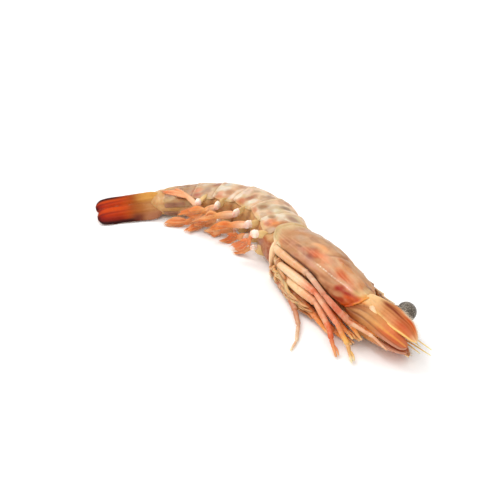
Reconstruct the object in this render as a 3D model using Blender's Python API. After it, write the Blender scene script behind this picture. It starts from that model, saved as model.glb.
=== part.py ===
"""A raw tiger prawn, whole and unpeeled, lying on its left side.

Everything is placed along the prawn's own spine, which curls as a raw prawn curls. A place on the body is
(s, d, r): s runs along the spine from the back edge of the head shell, forwards to the head and backwards to
the tail; d is towards the back of the animal and -d towards its belly; r is towards its right side, which faces
up. Limbs use the height z above the ground in place of r. The head points along +X and the belly faces -Y. All
sizes are in metres, or in millimetres where a table says so.
"""

import math

import bmesh
import bpy
import numpy as np
from mathutils import Vector

# Driving sizes of the body
SHELL_LENGTH = 0.047  # head shell, from its back edge to the eye socket
SEGMENT_LENGTHS = (0.011, 0.012, 0.0135, 0.012, 0.0105, 0.018)  # six tail segments, front to back
TAIL_END = -sum(SEGMENT_LENGTHS)
GAP = 0.0004  # clear space between neighbouring solids
SIDES = {"right": 1, "left": -1}

# The direction that the spine points in, in degrees from +X, as (s, degrees): at the tail fan, the sixth to the
# first tail segment, and the head
SPINE_TURNS = (
    (-0.0920, 48.0),
    (-0.0700, 38.0),
    (-0.0535, 26.5),
    (-0.0420, 11.0),
    (-0.0300, -6.0),
    (-0.0170, -28.5),
    (-0.0055, -40.0),
    (0.0060, -17.0),
)
SPINE_REACH = (-0.110, 0.100)
SPINE_STEP = 0.0005
SPINE_SOFTENING = 4  # steps to each side over which a turn is spread

# Body sizes along the spine, each as (s, size)
HALF_WIDTH = (
    (-0.104, 0.0032), (-0.077, 0.0047), (-0.058, 0.0062), (-0.045, 0.0072), (-0.030, 0.0079),
    (-0.012, 0.0083), (0.000, 0.0085), (0.010, 0.0092), (0.018, 0.0096), (0.028, 0.0092),
    (0.037, 0.0082), (0.047, 0.0062), (0.080, 0.0040),
)
BACK_HEIGHT = (
    (-0.104, 0.0020), (-0.077, 0.0053), (-0.058, 0.0080), (-0.045, 0.0092), (-0.030, 0.0102),
    (-0.012, 0.0108), (0.000, 0.0112), (0.010, 0.0116), (0.018, 0.0114), (0.035, 0.0100),
    (0.047, 0.0082), (0.080, 0.0020),
)
BELLY_DEPTH = (
    (-0.104, 0.0030), (-0.077, 0.0074), (-0.058, 0.0086), (-0.045, 0.0090), (-0.030, 0.0096),
    (-0.012, 0.0100), (0.000, 0.0102), (0.018, 0.0122), (0.035, 0.0104), (0.047, 0.0068),
    (0.080, 0.0020),
)
SINK = 0.97  # share of the half width left under the spine, where the flank is pressed flat
BEAK_HEIGHT = 0.0076  # of the spine above the ground ahead of the head shell, where the flanks don't touch it
SHELL_SWEEP = 0.9  # how straight the head shell's flanks hang; smaller is straighter
SEGMENT_SWEEP = 0.5  # the same for the tail segments

# Head shell
SHELL_EDGE = math.radians(138)  # how far round from the back its lower edge lies
FLANK_CORNER = math.radians(92)  # where its back edge starts to round forwards
SHELL_ROWS = 12
SHELL_POINTS = 22
ROSTRUM_ROOT = 0.014
ROSTRUM_TIP = 0.070
ROSTRUM_TEETH = 7
TOOTH_HEIGHT = 0.0013
ROSTRUM_CREST = ((0.014, 0.0126), (0.030, 0.0122), (0.047, 0.0104), (0.060, 0.0086), (0.070, 0.0068))
CHEST_WIDTH = 0.0042
CHEST_HEIGHT = 0.0066  # above the ground
EYE_SPREAD = 0.0042
EYE_RADIUS = 0.0034

# Tail segments, limbs and tail fan
SEGMENT_POINTS = 20
LIMB_SIDES = 6
FAN_WAY = (0.72, 0.69)  # (d, z) direction from the tail fan's left to its right edge
FAN_LINE = ((-0.0022, 0.0028), (-0.0040, 0.0021))  # (d, z) of the telson at its root and its tip

# Each leg as (s, d, z, radius) in millimetres, from its root to its tip. Leg 1 is the foremost.
LEGS = {
    "leg_right_5": (
        (4.5, -10.9, 12.4, 1.5), (11.5, -11.6, 14.4, 1.7), (20.0, -11.8, 14.9, 1.6), (29.0, -11.8, 14.8, 1.3),
        (41.0, -12.4, 13.6, 1.1), (52.0, -12.4, 10.0, 1.1), (62.4, -8.4, 7.6, 0.7), (69.5, -7.6, 5.6, 0.4),
    ),
    "leg_right_4": (
        (9.8, -12.5, 9.7, 1.4), (19.5, -12.8, 10.6, 1.6), (35.5, -13.6, 9.4, 1.4), (47.5, -14.2, 7.5, 1.1),
        (57.5, -15.4, 3.6, 0.9), (63.8, -18.6, 1.4, 0.4),
    ),
    "leg_right_3": (
        (17.0, -13.3, 7.1, 1.4), (26.0, -15.0, 7.5, 1.4), (36.8, -15.4, 6.2, 1.3), (44.0, -16.4, 5.1, 1.1),
        (51.5, -18.2, 3.6, 0.9), (58.0, -21.0, 1.0, 0.4),
    ),
    "leg_right_2": (
        (32.0, -10.4, 10.4, 1.0), (42.0, -10.4, 9.6, 1.0), (52.0, -10.8, 8.2, 0.9), (60.0, -11.0, 5.4, 0.4),
    ),
    "leg_right_1": (
        (33.0, -10.6, 7.5, 1.0), (41.0, -11.0, 7.0, 1.0), (49.0, -11.8, 6.1, 0.8), (57.0, -12.6, 4.6, 0.4),
    ),
    "leg_left_5": (
        (6.0, -13.0, 4.6, 1.3), (18.0, -15.4, 4.4, 1.2), (30.0, -18.2, 3.0, 0.9), (36.5, -21.6, 1.7, 0.7),
        (42.5, -27.0, 0.8, 0.5), (45.4, -32.0, 0.6, 0.3),
    ),
    "leg_left_4": (
        (13.0, -12.6, 1.7, 1.2), (22.0, -14.2, 1.6, 1.2), (32.0, -16.4, 1.3, 1.0), (40.0, -17.6, 1.0, 0.5),
    ),
    "leg_left_3": (
        (20.0, -12.9, 4.2, 1.2), (28.0, -13.4, 4.2, 1.1), (38.0, -14.6, 3.0, 1.0), (48.0, -15.6, 1.6, 0.5),
    ),
    "leg_left_2": (
        (30.0, -12.0, 2.4, 1.0), (38.0, -12.4, 1.9, 1.0), (46.0, -12.6, 1.5, 0.9), (56.0, -12.0, 1.0, 0.5),
    ),
    "leg_left_1": (
        (33.0, -10.6, 5.0, 1.0), (41.0, -10.8, 4.5, 1.0), (50.0, -11.0, 3.8, 0.8), (58.0, -10.0, 3.2, 0.4),
    ),
    "jaw_leg_right": (
        (41.0, -8.8, 7.4, 0.8), (50.0, -8.4, 7.6, 0.9), (58.0, -7.0, 7.4, 0.9), (68.0, -5.2, 7.2, 0.4),
    ),
    "jaw_leg_left": (
        (41.0, -8.6, 5.2, 0.8), (50.0, -8.4, 4.9, 0.9), (58.0, -7.2, 4.4, 0.8), (66.0, -5.6, 4.0, 0.4),
    ),
}
PINCER_LEGS = ("leg_right_4", "leg_right_3", "leg_right_1", "leg_left_3", "leg_left_2", "leg_left_1")
PINCER_SPREAD = (0.0, 0.0011, 0.0002)  # (s, d, z) from the tip of one finger to the tip of the other

# Swimmerets, front pair first: the middle and the end of each blade as (s, d, z) in millimetres, and the (d, z)
# direction of its width
SWIMMERETS = {
    "right": (
        ((-10.6, -17.0, 8.6), (-13.0, -18.6, 4.6), (0.4, 1.0)),
        ((-26.0, -17.6, 11.6), (-38.0, -19.8, 8.6), (0.3, 1.0)),
        ((-42.0, -16.9, 9.4), (-51.0, -17.6, 6.2), (0.3, 1.0)),
        ((-54.0, -15.0, 9.0), (-63.5, -14.0, 7.2), (0.2, 1.0)),
        ((-63.0, -7.6, 13.9), (-71.0, -1.0, 11.6), (1.0, 0.3)),
    ),
    "left": (
        ((-12.0, -14.6, 1.6), (-17.0, -17.2, 1.4), (0.7, 0.7)),
        ((-25.0, -15.2, 1.8), (-33.5, -18.6, 1.6), (0.5, 0.85)),
        ((-39.0, -14.8, 1.8), (-48.5, -17.8, 1.4), (0.5, 0.85)),
        ((-52.0, -14.6, 1.7), (-61.5, -16.8, 1.3), (0.5, 0.85)),
        ((-63.0, -12.4, 1.7), (-72.5, -12.2, 1.4), (0.5, 0.85)),
    ),
}

# Finishes: colour and roughness
SHELL = ((0.62, 0.42, 0.27), 0.30)
FLESH = ((0.72, 0.52, 0.36), 0.40)
FAN = ((0.50, 0.12, 0.03), 0.30)
LEG = ((0.74, 0.42, 0.22), 0.35)
SWIMMER = ((0.80, 0.30, 0.14), 0.35)
EYE = ((0.05, 0.05, 0.05), 0.15)


def curve_through(stations):
    """A smooth function through (place, value) pairs, held level beyond its ends."""
    places, values = np.array(stations).T
    slopes = np.gradient(values, places)

    def value(s):
        s = min(max(s, places[0]), places[-1])
        i = min(max(int(np.searchsorted(places, s)) - 1, 0), len(places) - 2)
        span = places[i + 1] - places[i]
        t = (s - places[i]) / span
        start = (1 + 2 * t) * (1 - t) ** 2 * values[i] + t * (1 - t) ** 2 * span * slopes[i]
        end = t * t * (3 - 2 * t) * values[i + 1] + t * t * (t - 1) * span * slopes[i + 1]
        return float(start + end)

    return value


half_width = curve_through(HALF_WIDTH)
back_height = curve_through(BACK_HEIGHT)
belly_depth = curve_through(BELLY_DEPTH)
rostrum_crest = curve_through(ROSTRUM_CREST)
mid_height = curve_through(
    ((-0.104, 0.0044), (-0.077, 0.0046))
    + tuple((s, SINK * width) for s, width in HALF_WIDTH if -0.060 < s < 0.040)
    + ((0.047, BEAK_HEIGHT), (0.080, BEAK_HEIGHT))
)


class Spine:
    """The curled line that the body follows, level with the ground as seen from above."""

    def __init__(self):
        turns = np.array(SPINE_TURNS)
        self.s = np.arange(SPINE_REACH[0], SPINE_REACH[1], SPINE_STEP)
        sharp = np.pad(np.interp(self.s, turns[:, 0], turns[:, 1]), SPINE_SOFTENING, mode="edge")
        window = 2 * SPINE_SOFTENING + 1
        self.heading = np.radians(np.convolve(sharp, np.full(window, 1 / window), "valid"))
        self.x = np.cumsum(np.cos(self.heading)) * SPINE_STEP
        self.y = np.cumsum(np.sin(self.heading)) * SPINE_STEP
        start = int(np.argmin(abs(self.s)))
        self.x -= self.x[start]
        self.y -= self.y[start]

    def standing(self, s, d, z):
        """The place (s, d) at a height above the ground, in world coordinates."""
        turn = float(np.interp(s, self.s, self.heading))
        x = float(np.interp(s, self.s, self.x)) - math.sin(turn) * d
        y = float(np.interp(s, self.s, self.y)) + math.cos(turn) * d
        return Vector((x, y, z))

    def point(self, s, d, r):
        """The place (s, d, r) on the body, in world coordinates."""
        return self.standing(s, d, mid_height(s) + r)


SPINE = Spine()


def clear_scene():
    for obj in list(bpy.data.objects):
        bpy.data.objects.remove(obj, do_unlink=True)


def make_material(name, finish):
    colour, roughness = finish
    made = bpy.data.materials.new(name)
    made.use_nodes = True
    shader = made.node_tree.nodes["Principled BSDF"]
    shader.inputs["Base Color"].default_value = (*colour, 1.0)
    shader.inputs["Roughness"].default_value = roughness
    shader.inputs["Metallic"].default_value = 0.0
    return made


def add_object(name, shape, finish):
    """Turns a bmesh into a named object with its own material."""
    mesh = bpy.data.meshes.new(name)
    shape.to_mesh(mesh)
    shape.free()
    mesh.materials.append(make_material(name, finish))
    mesh.shade_smooth()
    mesh.set_sharp_from_angle(angle=math.radians(50))
    obj = bpy.data.objects.new(name, mesh)
    bpy.context.scene.collection.objects.link(obj)
    return obj


def loft(name, rings, finish, first_hub=None):
    """A closed skin through rings of equally many points, with a fan over each end, above the ground throughout.
    The first end's fan may be dished by placing its hub."""
    shape = bmesh.new()
    rows = []
    for ring in rings:
        rows.append([shape.verts.new((p.x, p.y, max(p.z, 0.0))) for p in ring])
    count = len(rows[0])
    for near, far in zip(rows, rows[1:]):
        for i in range(count):
            j = (i + 1) % count
            shape.faces.new((near[i], near[j], far[j], far[i]))
    for row, hub in ((rows[0][::-1], first_hub), (rows[-1], None)):
        middle = shape.verts.new(hub or sum((v.co for v in row), Vector()) / count)
        for i in range(count):
            shape.faces.new((middle, row[i], row[(i + 1) % count]))
    bmesh.ops.recalc_face_normals(shape, faces=shape.faces)
    return add_object(name, shape, finish)


def join_into(body, tool):
    """Unites a hidden tool shape with a body."""
    tool.hide_render = True
    tool.display_type = "WIRE"
    union = body.modifiers.new(tool.name, "BOOLEAN")
    union.operation = "UNION"
    union.object = tool


def signed_power(value, power):
    return math.copysign(abs(value) ** power, value)


def body_outline(angle, s, sweep):
    """(d, r) of the body's skin at an angle round from the back."""
    across = half_width(s) * signed_power(math.sin(angle), 0.85 if math.cos(angle) > 0 else sweep)
    if math.cos(angle) > 0:
        return back_height(s) * math.cos(angle), across
    return belly_depth(s) * signed_power(math.cos(angle), 0.85), across


def closed_round(count):
    return [2 * math.pi * (i + 0.5) / count - math.pi for i in range(count)]


def open_round(count, edge):
    return [edge * (2 * i / (count - 1) - 1) for i in range(count)]


# ---- head ----


def shell_back(angle):
    """The head shell's back edge reaches further back over the flanks, then rounds forwards to its lower edge."""
    low = max(0.0, abs(angle) - FLANK_CORNER) / (SHELL_EDGE - FLANK_CORNER)
    return -0.0032 * math.sin(min(abs(angle), FLANK_CORNER)) ** 2 + 0.0062 * low**2


def shell_front(angle):
    """Its front edge slopes from the eye socket back to the lower corner."""
    return SHELL_LENGTH - 0.0030 * (angle / SHELL_EDGE) ** 2


def build_head_shell():
    rings = []
    for row in range(SHELL_ROWS):
        share = row / (SHELL_ROWS - 1)
        ring = []
        for angle in open_round(SHELL_POINTS, SHELL_EDGE):
            s = shell_back(angle) * (1 - share) + shell_front(angle) * share
            ring.append(SPINE.point(s, *body_outline(angle, s, SHELL_SWEEP)))
        rings.append(ring)
    dished = SPINE.point(0.0040, 0.0, 0.0)
    shell = loft("head_shell", rings, SHELL, dished)
    join_into(shell, build_rostrum())


def build_rostrum():
    """The toothed beak: a thin upright blade rising from the back of the head shell."""
    last_tooth = ROSTRUM_TIP - 0.010
    pitch = (last_tooth - ROSTRUM_ROOT) / ROSTRUM_TEETH
    edge = []
    for tooth in range(ROSTRUM_TEETH):
        foot = ROSTRUM_ROOT + pitch * tooth
        edge += [(foot, 0.0), (foot + 0.86 * pitch, TOOTH_HEIGHT)]
    edge += [(last_tooth, 0.0), (ROSTRUM_TIP, 0.0)]
    rings = []
    for s, tooth in edge:
        top = rostrum_crest(s) + tooth
        taper = max(0.0, s - 0.040) / (ROSTRUM_TIP - 0.040)
        under = rostrum_crest(s) - 0.0036 * (1 - 0.85 * taper)
        base = 0.0008 if s < 0.050 else 0.0005
        corners = ((top, -0.0004), (top, 0.0004), (under, base), (under, -base))
        rings.append([SPINE.point(s, d, r) for d, r in corners])
    return loft("rostrum_blade", rings, SHELL)


def build_chest():
    """The narrow underside of the head, which the legs hang from."""
    rings = []
    for s in np.linspace(-0.0006, 0.0285, 7):
        top = -belly_depth(s) * math.cos(math.pi - SHELL_EDGE) ** 0.85 - 0.0006
        corners = [(top, 0.5), (top - 0.0008, 0.475), (top - 0.0016, 0.3)]
        corners += [(d, -share) for d, share in corners[::-1]]
        rings.append([SPINE.standing(s, d, CHEST_HEIGHT + share * CHEST_WIDTH) for d, share in corners])
    loft("chest", rings, FLESH)


def build_face():
    """The front of the head between the eye sockets and the mouth, which carries eyes, feelers and scales."""
    rings = []
    for reach, size in ((0.0012, 0.84), (0.0028, 0.68), (0.0044, 0.42)):
        ring = []
        for angle in closed_round(14):
            slope = shell_front(min(abs(angle), SHELL_EDGE))
            d, r = body_outline(angle, SHELL_LENGTH, SHELL_SWEEP)
            ring.append(SPINE.point(slope + reach, d * size - GAP, r * size))
        rings.append(ring)
    loft("face", rings, FLESH)


# ---- tail segments ----


def border(index, angle):
    """Where the hinge line behind tail segment index lies: index 0 is the head shell's back edge."""
    if index == 0:
        return shell_back(min(abs(angle), FLANK_CORNER)) - GAP
    lobe = 0.0022 if index < len(SEGMENT_LENGTHS) else 0.0006
    return -sum(SEGMENT_LENGTHS[:index]) - lobe * max(0.0, -math.cos(angle)) * abs(math.sin(angle))


def build_segment(index):
    """Tail segment index, counted from 1 at the head: shell and flesh, swelling to its back edge."""
    rings = []
    for share, swell in ((0.0, 0.955), (0.25, 0.99), (0.7, 1.01), (1.0, 1.03)):
        ring = []
        for angle in closed_round(SEGMENT_POINTS):
            front = border(index - 1, angle) - GAP / 2
            back = border(index, angle) + GAP / 2
            s = front + (back - front) * share
            d, r = body_outline(angle, s, SEGMENT_SWEEP)
            ring.append(SPINE.point(s, d * swell, r * swell))
        rings.append(ring)
    dished = SPINE.point(-0.0034, 0.0, 0.0) if index == 1 else None
    loft(f"tail_segment_{index}", rings, SHELL, dished)


# ---- flat leaves and round limbs ----


def leaf(name, stations, wide_way, finish):
    """A thin leaf through stations of (s, d, z, half width, half thickness), with its width along (d, z)."""
    wide_d, wide_z = Vector(wide_way).normalized()
    rings = []
    for s, d, z, wide, thick in stations:
        ring = []
        for a, b in ((1, 0), (0.5, 0.8), (-0.5, 0.8), (-1, 0), (-0.5, -0.8), (0.5, -0.8)):
            u, v = a * wide, b * thick
            ring.append(SPINE.standing(s, d + wide_d * u - wide_z * v, z + wide_z * u + wide_d * v))
        rings.append(ring)
    return loft(name, rings, finish)


def limb(name, stations, finish):
    """A round limb through stations of (s, d, z, radius)."""
    centres = [SPINE.standing(s, d, z) for s, d, z, _ in stations]
    rings = []
    for i, centre in enumerate(centres):
        along = (centres[min(i + 1, len(centres) - 1)] - centres[max(i - 1, 0)]).normalized()
        level = along.cross(Vector((0, 0, 1))).normalized()
        steep = along.cross(level)
        ring = []
        for k in range(LIMB_SIDES):
            turn = 2 * math.pi * k / LIMB_SIDES
            ring.append(centre + stations[i][3] * (math.cos(turn) * level + math.sin(turn) * steep))
        rings.append(ring)
    return loft(name, rings, finish)


def in_metres(numbers):
    return [number / 1000 for number in numbers]


# ---- tail fan ----


def fan_leaf(name, length, lean, layer, outline):
    """One leaf of the tail fan. lean is its centre's distance across the fan from the telson, at its root and
    its tip; layer is how far below the telson it lies; outline is (share of length, half width, half thickness).
    """
    root = TAIL_END - 0.0012
    wide_d, wide_z = Vector(FAN_WAY).normalized()
    stations = []
    for share, wide, thick in outline:
        across = lean[0] * (1 - share) + lean[1] * share
        d = FAN_LINE[0][0] * (1 - share) + FAN_LINE[1][0] * share + wide_d * across - wide_z * layer
        z = FAN_LINE[0][1] * (1 - share) + FAN_LINE[1][1] * share + wide_z * across + wide_d * layer
        stations.append((root - length * share, d, z, wide, thick))
    leaf(name, stations, FAN_WAY, FAN)


def build_tail_fan():
    pointed = ((0.0, 0.0026, 0.0005), (0.3, 0.0025, 0.0005), (0.65, 0.0018, 0.0004), (1.0, 0.0004, 0.0003))
    rounded = (
        (0.0, 0.0014, 0.0004), (0.25, 0.0024, 0.00035), (0.6, 0.0029, 0.0003), (0.9, 0.0022, 0.00025),
        (1.0, 0.0009, 0.0002),
    )
    broad = [(share, 1.22 * wide, thick) for share, wide, thick in rounded]
    fan_leaf("telson", 0.0215, (0.0, 0.0), -0.0002, pointed)
    fan_leaf("uropod_inner_right", 0.0222, (0.0010, 0.0022), 0.0010, rounded)
    fan_leaf("uropod_inner_left", 0.0216, (-0.0010, -0.0014), 0.0020, rounded)
    fan_leaf("uropod_outer_right", 0.0252, (0.0014, 0.0030), 0.0030, broad)
    fan_leaf("uropod_outer_left", 0.0236, (-0.0014, -0.0022), 0.0040, broad)


# ---- head limbs ----


def build_eye(side, sign):
    root = (0.0535, 0.0046, BEAK_HEIGHT + sign * 0.0024, 0.0013)
    neck = (0.0580, 0.0062, BEAK_HEIGHT + sign * 0.0029, 0.0011)
    limb(f"eyestalk_{side}", (root, neck), LEG)
    shape = bmesh.new()
    bmesh.ops.create_uvsphere(shape, u_segments=14, v_segments=9, radius=EYE_RADIUS)
    centre = SPINE.standing(0.0614, 0.0084, BEAK_HEIGHT + sign * EYE_SPREAD)
    bmesh.ops.translate(shape, verts=shape.verts, vec=centre)
    add_object(f"eye_{side}", shape, EYE)


def build_antennal_scale(side, sign):
    """The leaf that guards the feelers, in line with the beak."""
    outline = (
        (0, 0.0020, 0.0008), (0.2, 0.0034, 0.0006), (0.55, 0.0037, 0.0005), (0.85, 0.0030, 0.0004),
        (1, 0.0012, 0.0003),
    )
    reach = 0.0245 if side == "right" else 0.0200
    stations = []
    for share, wide, thick in outline:
        d = 0.0010 - 0.0018 * share * share
        stations.append((0.0535 + reach * share, d, BEAK_HEIGHT + sign * 0.0053, wide, thick))
    leaf(f"antennal_scale_{side}", stations, (1, sign * 0.14), SHELL)


def build_feelers(side, sign):
    """The stalk of the long feeler, broken off short, and the short feeler."""
    stalk = (
        (0.0522, -0.0046, BEAK_HEIGHT + sign * 0.0026, 0.0017),
        (0.0580, -0.0042, BEAK_HEIGHT + sign * 0.0026, 0.0015),
        (0.0660, -0.0034, BEAK_HEIGHT + sign * 0.0024, 0.0010),
        (0.0740, -0.0030, BEAK_HEIGHT + sign * 0.0022, 0.0004),
    )
    limb(f"antenna_{side}", stalk, LEG)
    short = (
        (0.0565, 0.0000, BEAK_HEIGHT + sign * 0.0018, 0.0012),
        (0.0650, 0.0008, BEAK_HEIGHT + sign * 0.0018, 0.0010),
        (0.0720, 0.0014, BEAK_HEIGHT + sign * 0.0016, 0.0005),
        (0.0810, 0.0024, BEAK_HEIGHT + sign * 0.0013, 0.0003),
    )
    limb(f"antennule_{side}", short, LEG)


def build_leg(name, stations):
    stations = [in_metres(station) for station in stations]
    leg = limb(name, stations, LEG)
    if name in PINCER_LEGS:
        palm, tip = stations[-2], stations[-1]
        root = [0.7 * a + 0.3 * b for a, b in zip(palm, tip)]
        root[3] = 0.6 * palm[3]
        far = [a + b for a, b in zip(tip, PINCER_SPREAD)] + [0.75 * tip[3]]
        join_into(leg, limb(f"{name}_finger", (root, far), LEG))


# ---- swimmerets ----


def build_swimmeret(number, side, sign):
    """Swimmeret under tail segment number: a stout stalk and a long blade swept towards the tail."""
    s = -sum(SEGMENT_LENGTHS[:number]) + 0.55 * SEGMENT_LENGTHS[number - 1]
    root = -1.03 * belly_depth(s) - 0.0012
    height = mid_height(s) + sign * 0.55 * half_width(s)
    middle, end, wide_way = SWIMMERETS[side][number - 1]
    stations = [(s, root, height, 0.0018, 0.0008), (s - 0.0010, root - 0.0016, height, 0.0020, 0.0010)]
    stations.append((*in_metres(middle), 0.0019, 0.0005))
    stations.append((*in_metres([0.4 * a + 0.6 * b for a, b in zip(middle, end)]), 0.0015, 0.0004))
    stations.append((*in_metres(end), 0.0006, 0.0003))
    leaf(f"swimmeret_{side}_{number}", stations, wide_way, SWIMMER)


def centre_over_origin():
    """Moves everything so that the middle of the prawn's box stands on the origin."""
    bpy.context.view_layer.update()
    graph = bpy.context.evaluated_depsgraph_get()
    corners = []
    for obj in bpy.context.scene.objects:
        if not obj.hide_render:
            corners += [Vector(corner) for corner in obj.evaluated_get(graph).bound_box]
    middle = [(min(c[i] for c in corners) + max(c[i] for c in corners)) / 2 for i in (0, 1)]
    for obj in bpy.context.scene.objects:
        obj.location = (-middle[0], -middle[1], 0.0)


def main():
    clear_scene()
    build_head_shell()
    build_chest()
    build_face()
    for index in range(1, len(SEGMENT_LENGTHS) + 1):
        build_segment(index)
    build_tail_fan()
    for name, stations in LEGS.items():
        build_leg(name, stations)
    for side, sign in SIDES.items():
        build_eye(side, sign)
        build_antennal_scale(side, sign)
        build_feelers(side, sign)
        for number in range(1, 6):
            build_swimmeret(number, side, sign)
    centre_over_origin()


main()
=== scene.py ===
"""The looks of a whole raw tiger prawn that lies on its left side.

Places are given along the prawn's own spine, in millimetres and degrees. A place on the skin is (s, a): s
runs along the spine from the back edge of the head shell, forwards to the beak and backwards to the tail, and
a is the angle round the body from the middle of the back, positive on the right side, which faces up. Limbs
are placed by (s, d, z): d is towards the back of the animal and -d towards its belly, and z is the height
above the ground. Colours are screen colours, as triples from 0 to 255. Tints are linear, one for each point.
"""

import math

import bmesh
import bpy
import numpy as np
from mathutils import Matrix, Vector


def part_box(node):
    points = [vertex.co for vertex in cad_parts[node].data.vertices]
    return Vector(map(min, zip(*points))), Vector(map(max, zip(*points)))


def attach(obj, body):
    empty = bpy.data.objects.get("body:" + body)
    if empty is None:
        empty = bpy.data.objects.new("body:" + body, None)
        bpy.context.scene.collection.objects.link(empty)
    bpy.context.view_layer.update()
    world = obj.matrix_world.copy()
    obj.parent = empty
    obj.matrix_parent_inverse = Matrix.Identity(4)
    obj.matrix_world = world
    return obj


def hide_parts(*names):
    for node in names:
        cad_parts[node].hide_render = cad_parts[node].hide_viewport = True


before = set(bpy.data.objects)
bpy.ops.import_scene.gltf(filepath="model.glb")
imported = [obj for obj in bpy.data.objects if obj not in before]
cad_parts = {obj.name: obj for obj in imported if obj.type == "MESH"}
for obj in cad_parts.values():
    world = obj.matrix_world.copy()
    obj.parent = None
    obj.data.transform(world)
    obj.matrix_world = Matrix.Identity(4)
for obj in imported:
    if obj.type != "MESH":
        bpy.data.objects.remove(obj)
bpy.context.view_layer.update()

MM = 0.001
BODY = "root"
SIDES = {"right": 1, "left": -1}

# ---- sizes of the body, as in the solids ----

SEGMENT_LENGTHS = (11.0, 12.0, 13.5, 12.0, 10.5, 18.0)
TAIL_END = -sum(SEGMENT_LENGTHS)
SHELL_LENGTH = 47.0
SPINE_TURNS = (  # (s, heading in degrees from +X)
    (-92.0, 48.0), (-70.0, 38.0), (-53.5, 26.5), (-42.0, 11.0), (-30.0, -6.0), (-17.0, -28.5),
    (-5.5, -40.0), (6.0, -17.0),
)
HALF_WIDTH = (
    (-104, 3.2), (-77, 4.7), (-58, 6.2), (-45, 7.2), (-30, 7.9), (-12, 8.3), (0, 8.5), (10, 9.2), (18, 9.6),
    (28, 9.2), (37, 8.2), (47, 6.2), (80, 4.0),
)
BACK_HEIGHT = (
    (-104, 2.0), (-77, 5.3), (-58, 8.0), (-45, 9.2), (-30, 10.2), (-12, 10.8), (0, 11.2), (10, 11.6),
    (18, 11.4), (35, 10.0), (47, 8.2), (80, 2.0),
)
BELLY_DEPTH = (
    (-104, 3.0), (-77, 7.4), (-58, 8.6), (-45, 9.0), (-30, 9.6), (-12, 10.0), (0, 10.2), (18, 12.2),
    (35, 10.4), (47, 6.8), (80, 2.0),
)
SINK = 0.97  # share of the half width left under the spine, where the flank is pressed flat
BEAK_HEIGHT = 7.6
SHELL_EDGE = 138.0  # degrees round from the back to the head shell's lower edge
FLANK_CORNER = 92.0  # degrees round to where the head shell's back edge reaches furthest back
BACK_SWEEP, SHELL_SWEEP, TAIL_SWEEP = 0.85, 0.9, 0.5  # how square the skin is: less is squarer
SHELL_WALL, RING_WALL = 0.42 * MM, 0.32 * MM
GROUND_GAP, WALL_GROUND_GAP = 0.02 * MM, 0.04 * MM  # how far skins and inner walls keep off the ground


def through(stations):
    """A smooth function through (place, value) pairs, held level beyond its ends."""
    places, values = np.array(stations, float).T
    slopes = np.gradient(values, places)

    def value(s):
        s = np.clip(s, places[0], places[-1])
        i = np.clip(np.searchsorted(places, s) - 1, 0, len(places) - 2)
        span = places[i + 1] - places[i]
        t = (s - places[i]) / span
        start = (1 + 2 * t) * (1 - t) ** 2 * values[i] + t * (1 - t) ** 2 * span * slopes[i]
        return start + t * t * (3 - 2 * t) * values[i + 1] + t * t * (t - 1) * span * slopes[i + 1]

    return value


half_width = through(HALF_WIDTH)
back_height = through(BACK_HEIGHT)
belly_depth = through(BELLY_DEPTH)
mid_height = through(
    ((-104, 4.4), (-77, 4.6)) + tuple((s, SINK * w) for s, w in HALF_WIDTH if -60 < s < 40)
    + ((47, BEAK_HEIGHT), (80, BEAK_HEIGHT))
)


def lay_spine():
    """Places along the spine: s, heading, x and y, with the same softened turns as the solids."""
    step, soften = 0.5, 4
    s = np.arange(-110, 100, step)
    turns = np.array(SPINE_TURNS)
    sharp = np.pad(np.interp(s, turns[:, 0], turns[:, 1]), soften, mode="edge")
    window = 2 * soften + 1
    heading = np.radians(np.convolve(sharp, np.full(window, 1 / window), "valid"))
    x = np.cumsum(np.cos(heading)) * step
    y = np.cumsum(np.sin(heading)) * step
    start = int(np.argmin(abs(s)))
    return s, heading, x - x[start], y - y[start]


SPINE_S, SPINE_HEADING, SPINE_X, SPINE_Y = lay_spine()


def bare_place(s, d, z):
    """World coordinates in metres of (s, d, z), before the prawn is centred over the origin."""
    s, d, z = np.broadcast_arrays(np.asarray(s, float), d, z)
    turn = np.interp(s, SPINE_S, SPINE_HEADING)
    x = np.interp(s, SPINE_S, SPINE_X) - np.sin(turn) * d
    y = np.interp(s, SPINE_S, SPINE_Y) + np.cos(turn) * d
    return np.stack((x, y, np.maximum(z, 0.0)), -1) * MM


EYE_PLACE = (61.4, 8.4)  # (s, d) of both eyes
EYE_SPREAD = 4.2


def find_shift():
    """How far the solids were moved to centre them, read from the right eye's place."""
    low, high = (np.array(corner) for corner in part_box("eye_right"))
    away = (low + high) / 2 - bare_place(*EYE_PLACE, BEAK_HEIGHT + EYE_SPREAD)
    return np.array((away[0], away[1], 0.0))


SHIFT = find_shift()


def place(s, d, z):
    """World coordinates in metres of (s, d, z)."""
    return bare_place(s, d, z) + SHIFT


def signed_power(value, power):
    return np.sign(value) * np.abs(value) ** power


def skin(s, a, sweep, out=0.0, swell=1.0):
    """World coordinates of the skin at (s, a), moved out by some millimetres."""
    s, a = np.broadcast_arrays(np.asarray(s, float), np.asarray(a, float))
    angle = np.radians(a)
    upper = np.cos(angle) > 0
    across = signed_power(np.sin(angle), np.where(upper, BACK_SWEEP, sweep))
    up = np.where(upper, np.cos(angle), -np.abs(np.cos(angle)) ** BACK_SWEEP)
    tall = np.where(upper, back_height(s), belly_depth(s)) * swell + out
    wide = half_width(s) * swell + out
    return place(s, tall * up, mid_height(s) + wide * across)


def shell_skin(s, a, out=0.0, swell=1.0):
    return skin(s, a, SHELL_SWEEP, out, swell)


def tail_skin(s, a, out=0.0, swell=1.0):
    return skin(s, a, TAIL_SWEEP, out, swell)


# ---- soft shapes and colours ----


def bump(x, width):
    return np.exp(-((x / width) ** 2))


def ease(x, low, high):
    """0 below low, 1 above high, smooth between."""
    t = np.clip((x - low) / (high - low), 0, 1)
    return t * t * (3 - 2 * t)


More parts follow.
